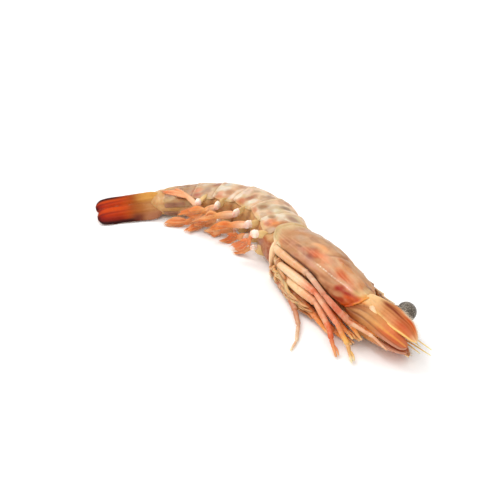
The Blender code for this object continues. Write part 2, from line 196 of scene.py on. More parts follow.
def ripple(seed, *coordinates):
    """An uneven, repeatable waviness between about -1 and 1."""
    random = np.random.default_rng(seed)
    total = 0.0
    for _ in range(6):
        phase = random.uniform(0, 2 * math.pi)
        total = total + np.sin(phase + sum(random.normal(0, 1) * c for c in coordinates))
    return total / 2.8


def clouds(seed, low, high, *coordinates):
    """Uneven shares from 0, where a ripple is below low, to 1, where it is above high."""
    return ease(ripple(seed, *coordinates), low, high)


def linear(colour):
    """Linear values of a screen colour, or of a list of them."""
    c = np.array(colour) / 255
    return np.where(c <= 0.04045, c / 12.92, ((c + 0.055) / 1.055) ** 2.4)


CREAM = (240, 214, 184)
PEARL = (250, 222, 204)
STRAW = (238, 204, 150)
YELLOW = (244, 196, 112)
BROWN = (170, 120, 84)
DARK_BROWN = (112, 62, 34)
BLUSH = (228, 120, 84)
RUST = (204, 96, 52)
FAN_BRISTLE = (150, 62, 34)
SCALE_BRISTLE = (232, 212, 192)


def paint(tint, *coats):
    """Lays coats of (colour, weight) over a tint, one after another."""
    for colour, weight in coats:
        weight = np.asarray(weight)[..., None]
        tint = tint * (1 - weight) + linear(colour) * weight
    return tint


def along_stops(share, stops):
    """Colours for shares from 0 to 1 through (share, colour) stops."""
    places, colours = zip(*stops)
    return np.stack([np.interp(share, places, channel) for channel in linear(colours).T], -1)


def stain(tint, s, a, patches, seed):
    """Lays soft uneven patches over a tint, given as (s, a, half length, half angle, lean, strength, colour).
    The lean carries a patch's outer end backwards.
    """
    for number, (at_s, at_a, long, wide, lean, strength, colour) in enumerate(patches):
        y = (a - at_a) / wide
        x = (s - at_s) / long + lean * y
        far = np.sqrt(x * x + y * y) + 0.30 * ripple(seed + number, 0.8 * s, 0.14 * a)
        tint = paint(tint, (colour, strength * (1 - ease(far, 0.15, 1.35))))
    return tint


# ---- mesh making ----


def face_outwards(mesh):
    shape = bmesh.new()
    shape.from_mesh(mesh)
    bmesh.ops.recalc_face_normals(shape, faces=shape.faces)
    shape.to_mesh(mesh)
    shape.free()


class Shape:
    """Grids of points gathered into one mesh, with a tint at each point."""

    def __init__(self):
        self.points, self.tints, self.faces, self.count = [], [], [], 0

    def add(self, points, tint):
        points = np.asarray(points, float)
        start = self.count
        self.points.append(points.reshape(-1, 3))
        self.tints.append(np.broadcast_to(tint, points.shape).reshape(-1, 3))
        self.count += len(self.points[-1])
        return start + np.arange(self.count - start).reshape(points.shape[:-1])

    def quads(self, ids):
        corners = (ids[:-1, :-1], ids[1:, :-1], ids[1:, 1:], ids[:-1, 1:])
        self.faces += np.stack([corner.ravel() for corner in corners], -1).tolist()

    def closed(self, points, tint):
        """A closed skin through rings of points, with a fan over each end."""
        points = np.asarray(points, float)
        tint = np.broadcast_to(tint, points.shape)
        ids = self.add(points, tint)
        self.quads(np.concatenate((ids, ids[:, :1]), 1))
        for end in (0, -1):
            hub = int(self.add(points[end].mean(0)[None], tint[end].mean(0)[None])[0])
            ring = ids[end].tolist()
            for one, two in zip(ring, ring[1:] + ring[:1]):
                self.faces.append([hub, one, two])

    def shell(self, points, tint, thickness, heart):
        """A thin wall whose outer face is a grid of points, made thick towards the heart line."""
        points = np.asarray(points, float)
        normal = np.cross(np.gradient(points, axis=0), np.gradient(points, axis=1))
        normal /= np.linalg.norm(normal, axis=-1, keepdims=True) + 1e-12
        if ((points - heart) * normal).sum(-1).mean() < 0:
            normal = -normal
        inner = points - normal * thickness
        inner[..., 2] = np.maximum(inner[..., 2], WALL_GROUND_GAP)
        front = self.add(points, tint)
        back = self.add(inner, tint)
        self.quads(front)
        self.quads(back)
        for edge in ((0, slice(None)), (-1, slice(None)), (slice(None), 0), (slice(None), -1)):
            self.quads(np.stack((front[edge], back[edge])))

    def make(self, name, finish, slot, *nodes):
        """Turns the shape into a finished piece that stands for the named solids."""
        mesh = bpy.data.meshes.new(name)
        mesh.from_pydata(np.concatenate(self.points).tolist(), [], self.faces)
        tint = mesh.color_attributes.new("tint", "FLOAT_COLOR", "POINT")
        colours = np.concatenate(self.tints)
        tint.data.foreach_set("color", np.concatenate((colours, np.ones((len(colours), 1))), 1).ravel())
        mesh.materials.append(finish)
        face_outwards(mesh)
        mesh.shade_smooth()
        piece = bpy.data.objects.new(name, mesh)
        bpy.context.scene.collection.objects.link(piece)
        return install(piece, slot, *nodes)


def install(piece, slot, *nodes):
    """Keeps a piece above the ground, and ties it to the body and the solids it stands for. Its slot is not
    used.
    """
    for vertex in piece.data.vertices:
        vertex.co.z = max(vertex.co.z, GROUND_GAP)
    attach(piece, BODY)
    for node in nodes:
        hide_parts(node)
    return piece


# ---- finishes ----

WATER_IOR = 1.33
FILM_SPECULAR = 0.22
FLESH_GLOW = (1.0, 0.45, 0.25)  # how far red, green and blue travel under the skin
MIX_FIRST, MIX_SECOND, MIX_RESULT = 6, 7, 2  # a mix node's sockets for colours


class Nodes:
    """A node tree being built."""

    def __init__(self, tree):
        self.tree = tree

    def feed(self, socket, value):
        """Links a socket to another node's, or gives it a plain value."""
        if isinstance(value, bpy.types.NodeSocket):
            self.tree.links.new(value, socket)
        else:
            socket.default_value = value

    def add(self, kind, inputs=None, **settings):
        node = self.tree.nodes.new(kind)
        for key, value in settings.items():
            setattr(node, key, value)
        for key, value in (inputs or {}).items():
            self.feed(node.inputs[key], value)
        return node


class Finish(Nodes):
    """A material being built round its Principled shader, with sizes and depths in millimetres."""

    def __init__(self, name, roughness, coat, coat_roughness, subsurface, depth_mm):
        self.material = bpy.data.materials.new(name)
        self.material.use_nodes = True
        super().__init__(self.material.node_tree)
        self.shader = self.tree.nodes["Principled BSDF"]
        self.object_place = self.add("ShaderNodeTexCoord").outputs["Object"]
        inputs = {
            "Roughness": roughness,
            "Coat Weight": coat,
            "Coat Roughness": coat_roughness,
            "Coat IOR": WATER_IOR,
            "Specular IOR Level": FILM_SPECULAR,
            "Subsurface Weight": subsurface,
            "Subsurface Radius": FLESH_GLOW,
            "Subsurface Scale": depth_mm * MM,
        }
        for key, value in inputs.items():
            self.feed(self.shader.inputs[key], value)

    def attribute(self, name):
        return self.add("ShaderNodeAttribute", attribute_name=name)

    def deepened_tint(self, power, wash):
        """The tint at each point, made richer because the wet film pales it, and washed with a colour."""
        tint = self.attribute("tint").outputs["Color"]
        rich = self.add("ShaderNodeGamma", {"Color": tint, "Gamma": power}).outputs[0]
        return self.mix(1.0, rich, wash, "MULTIPLY")

    def noise(self, size_mm, detail=4.0, roughness=0.55, distortion=0.0, stretch=None):
        where = self.object_place
        if stretch:
            where = self.add("ShaderNodeMapping", {"Vector": where, "Scale": stretch}).outputs[0]
        inputs = {"Vector": where, "Scale": 1 / (size_mm * MM), "Detail": detail}
        inputs |= {"Roughness": roughness, "Distortion": distortion}
        return self.add("ShaderNodeTexNoise", inputs).outputs["Fac"]

    def cells(self, size_mm, feature="F1"):
        inputs = {"Vector": self.object_place, "Scale": 1 / (size_mm * MM)}
        return self.add("ShaderNodeTexVoronoi", inputs, feature=feature).outputs["Distance"]

    def ramp(self, factor, low, high, start=0.0, end=1.0):
        inputs = {"Value": factor, "From Min": low, "From Max": high, "To Min": start, "To Max": end}
        return self.add("ShaderNodeMapRange", inputs, clamp=True).outputs["Result"]

    def maths(self, operation, one, two):
        return self.add("ShaderNodeMath", {0: one, 1: two}, operation=operation).outputs[0]

    def mix(self, factor, one, two, how="MIX"):
        one, two = (side if isinstance(side, bpy.types.NodeSocket) else (*side, 1.0) for side in (one, two))
        inputs = {"Factor": factor, MIX_FIRST: one, MIX_SECOND: two}
        return self.add("ShaderNodeMix", inputs, data_type="RGBA", blend_type=how).outputs[MIX_RESULT]

    def relief(self, height, strength, depth_mm, under=None):
        inputs = {"Height": height, "Strength": strength, "Distance": depth_mm * MM}
        if under:
            inputs["Normal"] = under
        return self.add("ShaderNodeBump", inputs).outputs["Normal"]

    def clouded(self, tint, haze, low, high, most, colour):
        """A tint that turns to a colour, by most at the most, where the haze rises from low to high."""
        return self.mix(self.ramp(haze, low, high, 0.0, most), tint, linear(colour))

    def done(self, colour, normal):
        self.feed(self.shader.inputs["Base Color"], colour)
        self.feed(self.shader.inputs["Normal"], normal)
        return self.material


def make_shell_finish():
    """Wet shell: mottled, with tiny colour cells, pale clouds, fine pits and a glossy film."""
    f = Finish("wet_shell", roughness=0.38, coat=0.26, coat_roughness=0.14, subsurface=0.30, depth_mm=1.2)
    tint = f.deepened_tint(1.38, (0.90, 0.97, 0.97))
    haze = f.noise(3.4, 5.0, 0.6, 0.6)
    tint = f.mix(f.ramp(haze, 0.30, 0.52, 0.40, 0.0), tint, (0.72, 0.56, 0.40), "MULTIPLY")
    tint = f.clouded(tint, haze, 0.52, 0.78, 0.12, STRAW)
    cells = f.cells(0.34)
    specks = f.maths("MULTIPLY", f.ramp(cells, 0.16, 0.34, 1.0, 0.0), f.ramp(f.noise(1.6, 3.0), 0.46, 0.66))
    tint = f.mix(f.maths("MULTIPLY", specks, 0.4), tint, linear(RUST))
    f.feed(f.shader.inputs["Roughness"], f.ramp(f.noise(1.1, 4.0), 0.3, 0.7, 0.32, 0.52))
    pits = f.relief(f.noise(0.35, 3.0), 0.35, 0.06)
    dents = f.relief(f.noise(2.2, 4.0), 0.5, 0.22, pits)
    f.feed(f.shader.inputs["Coat Normal"], f.relief(f.noise(1.4, 5.0, 0.65), 0.6, 0.30))
    return f.done(tint, dents)


def make_flesh_finish():
    """Raw flesh under the shell: fibres, pale clouds and a wet film."""
    f = Finish("raw_flesh", roughness=0.36, coat=0.5, coat_roughness=0.15, subsurface=0.35, depth_mm=1.6)
    tint = f.deepened_tint(1.30, (0.98, 0.96, 0.92))
    tint = f.clouded(tint, f.noise(2.0, 5.0, 0.6), 0.4, 0.75, 0.3, STRAW)
    fibres = f.noise(0.5, 4.0, 0.6, 0.4, (1.0, 0.3, 1.0))
    tint = f.clouded(tint, fibres, 0.5, 0.8, 0.35, BROWN)
    return f.done(tint, f.relief(fibres, 0.5, 0.2))


def make_limb_finish():
    """Thin limb shell: smooth, with pale and pink clouds."""
    f = Finish("limb_shell", roughness=0.40, coat=0.28, coat_roughness=0.18, subsurface=0.25, depth_mm=0.8)
    tint = f.deepened_tint(1.26, (0.93, 0.97, 0.97))
    tint = f.clouded(tint, f.noise(2.4, 4.0), 0.48, 0.76, 0.35, CREAM)
    tint = f.clouded(tint, f.noise(1.9, 3.0), 0.54, 0.78, 0.45, BLUSH)
    return f.done(tint, f.relief(f.noise(0.5, 3.0), 0.3, 0.06))


def make_blade_finish():
    """Leaf-like blades of the fan, scales and swimmerets: mottled brown, finely pitted and wet."""
    f = Finish("blade_shell", roughness=0.40, coat=0.12, coat_roughness=0.14, subsurface=0.12, depth_mm=0.6)
    f.feed(f.shader.inputs["Specular IOR Level"], 0.10)
    tint = f.deepened_tint(1.34, (0.92, 0.98, 0.94))
    shade = f.ramp(f.noise(2.2, 5.0, 0.62, 0.5), 0.35, 0.6, 0.25, 0.0)
    tint = f.mix(shade, tint, (0.80, 0.60, 0.46), "MULTIPLY")
    tint = f.clouded(tint, f.noise(1.2, 4.0), 0.54, 0.8, 0.22, DARK_BROWN)
    return f.done(tint, f.relief(f.noise(0.45, 3.0), 0.4, 0.07))


def make_eye_finish():
    """Eye: dark grey, with a fine honeycomb and cloudy pale and dark spots."""
    f = Finish("eye_glaze", roughness=0.4, coat=0.3, coat_roughness=0.15, subsurface=0.0, depth_mm=0.5)
    tint = f.attribute("tint").outputs["Color"]
    honeycomb = f.cells(0.30)
    tint = f.clouded(tint, honeycomb, 0.30, 0.62, 0.6, (48, 38, 30))
    tint = f.clouded(tint, f.noise(0.55, 5.0, 0.75), 0.50, 0.68, 0.7, (214, 200, 180))
    tint = f.clouded(tint, f.noise(1.3, 4.0, 0.7), 0.52, 0.66, 0.6, (52, 42, 34))
    f.feed(f.shader.inputs["Roughness"], f.ramp(f.noise(0.5, 3.0), 0.3, 0.7, 0.3, 0.6))
    return f.done(tint, f.relief(honeycomb, 0.7, 0.10, f.relief(f.noise(0.8, 4.0), 0.5, 0.15)))


def make_pearl_finish():
    """The knobs that the swimmerets hang from: white, smooth and wet, with pink clouds."""
    f = Finish("pearly_knob", roughness=0.30, coat=0.7, coat_roughness=0.08, subsurface=0.4, depth_mm=1.2)
    tint = f.attribute("tint").outputs["Color"]
    tint = f.clouded(tint, f.noise(1.5, 4.0), 0.5, 0.75, 0.5, (228, 168, 142))
    return f.done(tint, f.relief(f.noise(0.8, 3.0), 0.3, 0.1))


def make_bristle_finish():
    """Bristles: straw-coloured here and there, and barely glossy."""
    f = Finish("bristles", roughness=0.45, coat=0.1, coat_roughness=0.3, subsurface=0.2, depth_mm=0.3)
    tint = f.attribute("tint").outputs["Color"]
    tint = f.clouded(tint, f.noise(2.5, 2.0), 0.4, 0.7, 0.5, STRAW)
    return f.done(tint, f.relief(f.noise(0.2, 2.0), 0.1, 0.02))


SHELL = make_shell_finish()
FLESH = make_flesh_finish()
LIMB = make_limb_finish()
BLADE = make_blade_finish()
EYE = make_eye_finish()
KNOB = make_pearl_finish()
BRISTLE = make_bristle_finish()

# ---- geometry nodes: limbs that follow a path, and fringes of bristles ----


class Tree(Nodes):
    """A geometry node tree being built, with named inputs."""

    def __init__(self, name, **inputs):
        super().__init__(bpy.data.node_groups.new(name, "GeometryNodeTree"))
        for way in ("INPUT", "OUTPUT"):
            self.tree.interface.new_socket("Geometry", in_out=way, socket_type="NodeSocketGeometry")
        self.identifiers = {}
        for key, value in inputs.items():
            kind = {int: "NodeSocketInt", float: "NodeSocketFloat"}.get(type(value), "NodeSocketMaterial")
            socket = self.tree.interface.new_socket(key.replace("_", " "), in_out="INPUT", socket_type=kind)
            if kind != "NodeSocketMaterial":
                socket.default_value = value
            self.identifiers[key] = socket.identifier
        self.source = self.tree.nodes.new("NodeGroupInput")
        self.outlet = self.tree.nodes.new("NodeGroupOutput")

    def given(self, key):
        return self.source.outputs[key.replace("_", " ")]

    def tube(self, curve, profile, scale):
        """Sweeps a profile along a curve. All three are nodes, taken by their first output."""
        inputs = {"Curve": curve.outputs[0], "Profile Curve": profile.outputs[0]}
        inputs |= {"Scale": scale.outputs[0], "Fill Caps": True}
        return self.add("GeometryNodeCurveToMesh", inputs)

    def finish(self, geometry, material):
        real = self.add("GeometryNodeRealizeInstances", {"Geometry": geometry})
        smooth = self.add("GeometryNodeSetShadeSmooth", {"Geometry": real.outputs[0]})
        painted = self.add("GeometryNodeSetMaterial", {"Geometry": smooth.outputs[0], "Material": material})
        self.tree.links.new(painted.outputs[0], self.outlet.inputs[0])

    def apply(self, name, mesh, **values):
        """Runs the tree on a mesh and returns the result as an object with a plain mesh."""
        holder = bpy.data.objects.new(name, mesh)
        bpy.context.scene.collection.objects.link(holder)
        modifier = holder.modifiers.new("tree", "NODES")
        modifier.node_group = self.tree
        for key, value in values.items():
            modifier[self.identifiers[key]] = value
        bpy.context.view_layer.update()
        graph = bpy.context.evaluated_depsgraph_get()
        plain = bpy.data.meshes.new_from_object(holder.evaluated_get(graph))
        holder.modifiers.remove(modifier)
        holder.data = plain
        plain.name = name
        return holder


def make_limb_tree():
    """Sweeps a flattened round profile along each line of the mesh, as thick as the line's girth says."""
    tree = Tree("limb_along_path", Sides=12, Flatness=0.85, Finish=LIMB)
    line = tree.add("GeometryNodeMeshToCurve", {"Mesh": tree.given("Geometry")})
    girth = tree.add("GeometryNodeInputNamedAttribute", {"Name": "girth"}, data_type="FLOAT")
    upright = tree.add("GeometryNodeSetCurveNormal", {"Curve": line.outputs[0]}, mode="MINIMUM_TWIST")
    inputs = {"Resolution": tree.given("Sides"), "Radius": 1.0}
    round_ = tree.add("GeometryNodeCurvePrimitiveCircle", inputs)
    squash = tree.add("ShaderNodeCombineXYZ", {"X": 1.0, "Y": tree.given("Flatness"), "Z": 1.0})
    profile = tree.add("GeometryNodeTransform", {"Geometry": round_.outputs[0], "Scale": squash.outputs[0]})
    swept = tree.tube(upright, profile, girth)
    tree.finish(swept.outputs[0], tree.given("Finish"))
    return tree


def make_fringe_tree():
    """Plants bent tapering bristles along each line of the mesh, leaning as the line's lean says."""
    sizes = {"Spacing": 0.20 * MM, "Length": 1.0 * MM, "Thickness": 0.03 * MM, "Spread": 0.3}
    tree = Tree("bristle_fringe", **sizes, Seed=5, Finish=BRISTLE)
    line = tree.add("GeometryNodeMeshToCurve", {"Mesh": tree.given("Geometry")})
    inputs = {"Curve": line.outputs[0], "Length": tree.given("Spacing")}
    spaced = tree.add("GeometryNodeResampleCurve", inputs, mode="LENGTH")
    lean = tree.add("GeometryNodeInputNamedAttribute", {"Name": "lean"}, data_type="FLOAT_VECTOR")
    reach = tree.add("GeometryNodeInputNamedAttribute", {"Name": "reach"}, data_type="FLOAT")
    inputs = {"Min": (-1, -1, -1), "Max": (1, 1, 1), "Seed": tree.given("Seed")}
    jitter = tree.add("FunctionNodeRandomValue", inputs, data_type="FLOAT_VECTOR")
    inputs = {0: jitter.outputs["Value"], "Scale": tree.given("Spread")}
    stray = tree.add("ShaderNodeVectorMath", inputs, operation="SCALE")
    inputs = {0: lean.outputs["Attribute"], 1: stray.outputs[0]}
    way = tree.add("ShaderNodeVectorMath", inputs, operation="ADD")
    turned = tree.add("FunctionNodeAlignRotationToVector", {"Vector": way.outputs[0]}, axis="Z")
    inputs = {"Min": 0.65, "Max": 1.1, "Seed": tree.given("Seed")}
    size = tree.add("FunctionNodeRandomValue", inputs, data_type="FLOAT")
    inputs = {0: size.outputs["Value"], 1: reach.outputs["Attribute"]}
    scaled = tree.add("ShaderNodeMath", inputs, operation="MULTIPLY")
    middle = tree.add("ShaderNodeCombineXYZ", {"Z": tree.given("Length")})
    inputs = {0: middle.outputs[0], 1: (1, 1, 0.5)}
    tip = tree.add("ShaderNodeVectorMath", inputs, operation="MULTIPLY")
    end = tree.add("ShaderNodeCombineXYZ", {"X": tree.given("Spacing"), "Z": tree.given("Length")})
    inputs = {"Resolution": 3, "Start": (0, 0, 0), "Middle": tip.outputs[0], "End": end.outputs[0]}
    hair = tree.add("GeometryNodeCurveQuadraticBezier", inputs)
    share = tree.add("GeometryNodeSplineParameter")
    inputs = {"Value": share.outputs["Factor"], "To Min": 1.0, "To Max": 0.15}
    taper = tree.add("ShaderNodeMapRange", inputs)
    inputs = {"Resolution": 3, "Radius": tree.given("Thickness")}
    profile = tree.add("GeometryNodeCurvePrimitiveCircle", inputs)
    bristle = tree.tube(hair, profile, taper)
    inputs = {
        "Points": spaced.outputs[0], "Instance": bristle.outputs[0], "Rotation": turned.outputs[0],
        "Scale": scaled.outputs[0],
    }
    planted = tree.add("GeometryNodeInstanceOnPoints", inputs)
    tree.finish(planted.outputs[0], tree.given("Finish"))
    return tree


LIMB_TREE = make_limb_tree()
FRINGE_TREE = make_fringe_tree()


def line_mesh(name, lines, **attributes):
    """A mesh of open lines. Each attribute gives, for each line, values at its points."""
    mesh = bpy.data.meshes.new(name)
    points, edges = [], []
    for line in lines:
        edges += [(len(points) + i, len(points) + i + 1) for i in range(len(line) - 1)]
        points += [tuple(point) for point in line]
    mesh.from_pydata(points, edges, [])
    for key, values in attributes.items():
        flat = np.concatenate([np.asarray(value, float) for value in values])
        if key == "tint":
            made = mesh.attributes.new(key, "FLOAT_COLOR", "POINT")
            made.data.foreach_set("color", np.concatenate((flat, np.ones((len(flat), 1))), 1).ravel())
        elif flat.ndim == 2:
            mesh.attributes.new(key, "FLOAT_VECTOR", "POINT").data.foreach_set("vector", flat.ravel())
        else:
            mesh.attributes.new(key, "FLOAT", "POINT").data.foreach_set("value", flat)
    return mesh


FRINGES = []  # (points of a line, ways that its bristles lean, their reach, their tint)


def add_fringe(points, lean, reach, tint):
    reach = np.broadcast_to(reach, len(points))
    FRINGES.append((points, lean, reach, np.broadcast_to(tint, (len(points), 3))))


LINE_STEP = 0.35  # millimetres between the points of a limb's middle line


def chain(stations):
    """Where stations of (s, d, z, ...) lie, and how many millimetres of line lead to each."""
    corners = place(*stations[:, :3].T)
    links = np.linalg.norm(np.diff(corners, axis=0), axis=1)
    return corners, np.concatenate(([0], np.cumsum(links))) / MM


def limb_line(stations, smooth_mm=1.0, step_mm=LINE_STEP, cuffs=True, swelling=(0.16,)):
    """A limb's middle line, girth and share of its length, through stations of (s, d, z, radius).

    Each inner station is a joint: the shell swells between joints and into a cuff before one, and narrows
    at it.
    """
    stations = np.array(stations, float)
    corners, reach = chain(stations)
    arc = np.linspace(0, reach[-1], max(6, int(reach[-1] / step_mm)))
    window = max(1, int(smooth_mm / step_mm))
    kernel = np.full(2 * window + 1, 1 / (2 * window + 1))
    line = []
    for i in range(3):
        track = np.interp(arc, reach, corners[:, i])
        before = 2 * track[0] - track[window:0:-1]
        after = 2 * track[-1] - track[-2:-window - 2:-1]
        line.append(np.convolve(np.concatenate((before, track, after)), kernel, "valid"))
    girth = np.interp(arc, reach, stations[:, 3])
    if cuffs:
        link = np.clip(np.searchsorted(reach, arc, side="right") - 1, 0, len(reach) - 2)
        swell = np.resize(swelling, len(reach))[link]
        part = (arc - reach[link]) / (reach[link + 1] - reach[link])
        girth = girth * (1 + swell * np.sin(math.pi * part) ** 0.7)
        for joint in reach[1:-1]:
            girth = girth * (1 + 0.16 * bump(arc - joint + 0.9, 0.8) - 0.24 * bump(arc - joint - 0.1, 0.35))
    share = arc / reach[-1]
    end = np.minimum(arc, reach[-1] - arc) / np.maximum(girth, 0.1)
    girth = girth * np.sqrt(np.clip(1 - (1 - np.clip(end, 0.06, 1)) ** 2, 0, 1))
    return np.stack(line, -1), girth * MM, share


def sweep(name, lines, finish, slot, *nodes, sides=12, flatness=0.85):
    """A piece of one or more limbs, each given as (points, girth, tint)."""
    points, girths, tints = zip(*lines)
    mesh = line_mesh(name, points, girth=girths, tint=tints)
    piece = LIMB_TREE.apply(name, mesh, Sides=sides, Flatness=flatness, Finish=finish)
    return install(piece, slot, *nodes)


# ---- blades: thin leaves of the fan, the scales and the swimmerets ----


def blade_points(
    stations, way, rows=70, columns=36, camber=0.0, tip=0.12, ribs=(), wave=0.0, seed=1, twist=0.0
):
    """Rings of a thin blade through stations of (s, d, z, half width, half thickness). Its width lies along
    (d, z) way at its root and is turned by twist degrees at its tip. Ribs are (place across, half width,
    height), and run along it. Returns the rings, and the share along and the place across of each point.
    """
    stations = np.array(stations, float)
    marks = chain(stations)[1]
    marks = marks / marks[-1]
    share = 1 - (1 - np.linspace(0, 1, rows)) ** 1.4
    s, d, z, wide, thick = (through(np.stack((marks, stations[:, i]), 1))(share)[:, None] for i in range(5))
    last = np.clip((share[:, None] - (1 - tip)) / tip, 0, 0.999)
    wide = wide * np.sqrt(1 - last**2)
    turn = np.linspace(0, 2 * math.pi, columns, endpoint=False)[None]
    across = np.cos(turn) + 0 * share[:, None]
    side = signed_power(np.sin(turn), 0.7)
    lift = thick * side + camber * (1 - across**2)
    lift = lift + wave * across**2 * ripple(seed, 9 * share[:, None], 1.5 * across)
    for centre, width, height in ribs:
        lift = lift + np.sign(side) * height * bump(across - centre, width) * (1 - share[:, None] ** 3)
    angle = math.atan2(way[1], way[0]) + math.radians(twist) * share[:, None]
    wide_d, wide_z = np.cos(angle), np.sin(angle)
    out = across * wide
    points = place(s, d + wide_d * out - wide_z * lift, z + wide_z * out + wide_d * lift)
    return points, share[:, None] + 0 * across, across


HOLLOW = (0.0, 0.3, -0.25)  # a rib that is a broad hollow along the middle of a blade


def widened(size, *rows):
    """Stations for a blade from rows of (spot, half width, half thickness), both made larger by size."""
    return [(*spot, wide * size, thick * size) for spot, wide, thick in rows]


def edge_fringe(points, share, rail, first, reach, lean_back, tint):
    """Bristles along one edge of a blade from the share first on, pointing out and leaning to its tip."""
    picked = np.where(share[:, 0] >= first)[0]
    edge = points[picked, rail]
    middle = points[picked].mean(1)
    out = edge - middle
    out /= np.linalg.norm(out, axis=1, keepdims=True)
    along = np.gradient(middle, axis=0)
    along /= np.linalg.norm(along, axis=1, keepdims=True)
    add_fringe(edge, out + lean_back * along, reach, tint)


# ---- head shell ----

ROSTRUM_ROOT, ROSTRUM_TIP = 14.0, 70.0
ROSTRUM_TEETH, TOOTH_HEIGHT = 7, 0.9
LOWER_TEETH = (57.5, 61.0, 64.5)  # where the teeth under the beak's tip end
SHELL_FOLD = 28  # degrees by which the front of the head shell folds in under its edge
rostrum_crest = through(((14, 12.6), (30, 12.2), (47, 10.7), (56, 9.8), (62, 8.5), (70, 6.8)))

HEAD_PATCHES = (  # (s, a, half length, half angle, lean, strength, colour)
    (3.5, 136, 2.6, 9, 0.0, 0.8, (240, 214, 178)),
    (5.6, 124, 2.0, 10, 0.3, 0.85, (220, 156, 110)),
    (7.6, 120, 2.0, 7, 0.3, 0.85, (188, 124, 82)),
    (12, 112, 6, 11, 0.1, 0.85, (200, 142, 112)),
    # painted sheen: a pale grey patch on the upper flank
    (11, 92, 4.6, 9, 0.2, 0.7, (214, 182, 156)),
    (13.5, 101, 3.2, 6, 0.4, 0.7, (208, 174, 140)),
    (14, 110, 1.8, 4, 0.4, 0.7, (160, 112, 82)),
    (15, 82, 6, 14, 0.2, 0.7, (212, 168, 130)),
    (10, 62, 6, 14, 0.2, 0.7, (206, 164, 124)),
    (18, 131, 7, 6, 0.0, 0.8, (204, 146, 110)),
    (21.5, 85, 5, 8, 0.2, 0.9, (240, 180, 130)),
    (22, 104, 4.6, 9, 0.3, 1.0, (198, 96, 58)),
    (26.0, 98, 5.4, 10, 0.2, 0.95, (238, 144, 94)),
    (21.5, 117, 5.4, 8, 0.2, 0.9, (168, 102, 84)),
    (25.5, 125, 5, 6, 0.1, 0.85, (218, 160, 136)),
    (23.5, 136, 5, 4, 0.0, 0.9, (170, 106, 66)),
    (16, 54, 8, 14, 0.2, 0.8, (216, 178, 138)),
    (23, 52, 6, 10, 0.2, 0.8, (200, 158, 112)),
    (29, 72, 6, 9, 0.2, 0.8, (218, 150, 106)),
    (28, 50, 3, 9, 0.3, 0.8, (206, 126, 70)),
    # painted shadow under the last leg, near the shell's lower edge
    (27, 142, 6, 7, 0.0, 0.9, (140, 82, 44)),
    (33, 129, 5, 5, 0.0, 0.75, (206, 146, 108)),
    # painted highlight: a pale pink band along the flank's ridge
    (33, 110, 7, 7, 0.0, 0.85, (242, 178, 148)),
    (34, 92, 5, 8, 0.2, 0.75, (228, 158, 110)),
    (36.5, 140, 5, 7, 0.0, 0.9, (192, 130, 94)),
    # painted shadow under the last leg
    (35, 156, 6, 8, 0.0, 0.9, (150, 92, 58)),
    (37, 46, 7, 10, 0.2, 0.85, (202, 158, 112)),
    (38, 98, 5.0, 11, 0.3, 1.0, (224, 118, 62)),
    (36, 76, 4, 7, 0.2, 0.7, (224, 164, 114)),
    (41, 100, 3, 6, 0.2, 0.85, (214, 134, 98)),
    # painted highlight: a pink patch near the front of the flank
    (42.5, 110, 4.0, 6, 0.1, 0.95, (244, 168, 148)),
    (43.5, 84, 2.8, 8, 0.2, 0.85, (232, 170, 122)),
    (43.2, 126, 6, 11, 0.0, 1.0, (188, 62, 14)),
    (41.5, 156, 5.5, 12, 0.0, 1.0, (190, 98, 56)),
    (47.6, 138, 4.6, 17, 0.0, 1.0, (226, 110, 34)),
    (46, 160, 4.5, 13, 0.0, 1.0, (200, 82, 24)),
    # painted shadow at the front of the shell, above the cream band
    (46.4, 62, 3.4, 13, 0.0, 1.0, (156, 108, 78)),
    (46.4, 104, 2.6, 12, 0.2, 1.0, (222, 180, 132)),
    (47.6, 84, 2.4, 22, 0.1, 1.0, (236, 204, 162)),
    (49.6, 62, 2.2, 10, 0.0, 0.9, (242, 194, 142)),
    (36, 8, 14, 14, 0.0, 0.85, (150, 98, 64)),
)


def shell_back(a):
    """The head shell's back edge reaches back over the flanks, then rounds forwards to its lower edge."""
    a = np.abs(a)
    low = np.maximum(0.0, a - FLANK_CORNER) / (SHELL_EDGE - FLANK_CORNER)
    return -3.2 * np.sin(np.radians(np.minimum(a, FLANK_CORNER))) ** 2 + 6.2 * low**2


def shell_front(a):
    """Its front edge: a hollow for the eye, the spine beside it, and the rounded lower corner."""
    a = np.abs(a)
    flank = SHELL_LENGTH + 1.4 + 1.9 * ease(a, 48, 70) - 0.5 * ease(a, 100, 125) - 1.6 * ease(a, 120, 150)
    return flank - 2.0 * ease(a, 150, 166) - 2.8 * bump(a - 36, 13) + 0.8 * bump(a - 66, 4.0)


def flank_ridge(s):
    """The angle at which a low ridge runs forwards along the flank."""
    return 115 - 0.4 * (s - 34)


def head_relief(s, a, back, front):
    """How far the head shell's skin stands out, in millimetres: its rims, keels and grooves."""
    a = np.abs(a)
    rim = 0.30 * bump(s - back - 0.5, 0.55) - 0.22 * bump(s - back - 1.7, 0.6)
    brow = 0.22 * bump(front - s - 0.4, 0.5) - 0.15 * bump(front - s - 1.5, 0.6)
    keel = 0.75 * bump(a, 5.5) * ease(s, 8, 16) - 0.55 * bump(a - 17, 6) * ease(s, 12, 20)
    neck = -0.55 * bump(s - 28.5 + 0.10 * (a - 60), 1.4) * ease(a, 24, 40) * (1 - ease(a, 84, 96))
    liver = -0.40 * bump(a - 96 - 0.7 * (s - 34), 4.0) * ease(s, 27, 31) * (1 - ease(s, 42, 46))
    cheek = 0.50 * bump(a - 70 + 0.25 * (s - 40), 3.2) * ease(s, 32, 38)
    cheek = cheek + 0.30 * bump(a - flank_ridge(s), 2.4) * ease(s, 24, 29) * (1 - ease(s, 40, 44))
    thorn = 0.9 * bump(a - 79, 3.0) * bump(s - 32.5, 1.2)
    gill = 0.18 * ripple(11, 0.28 * s, 0.11 * a) + 0.10 * ripple(12, 0.7 * s, 0.25 * a)
    return rim + brow + keel + neck + liver + cheek + thorn + gill


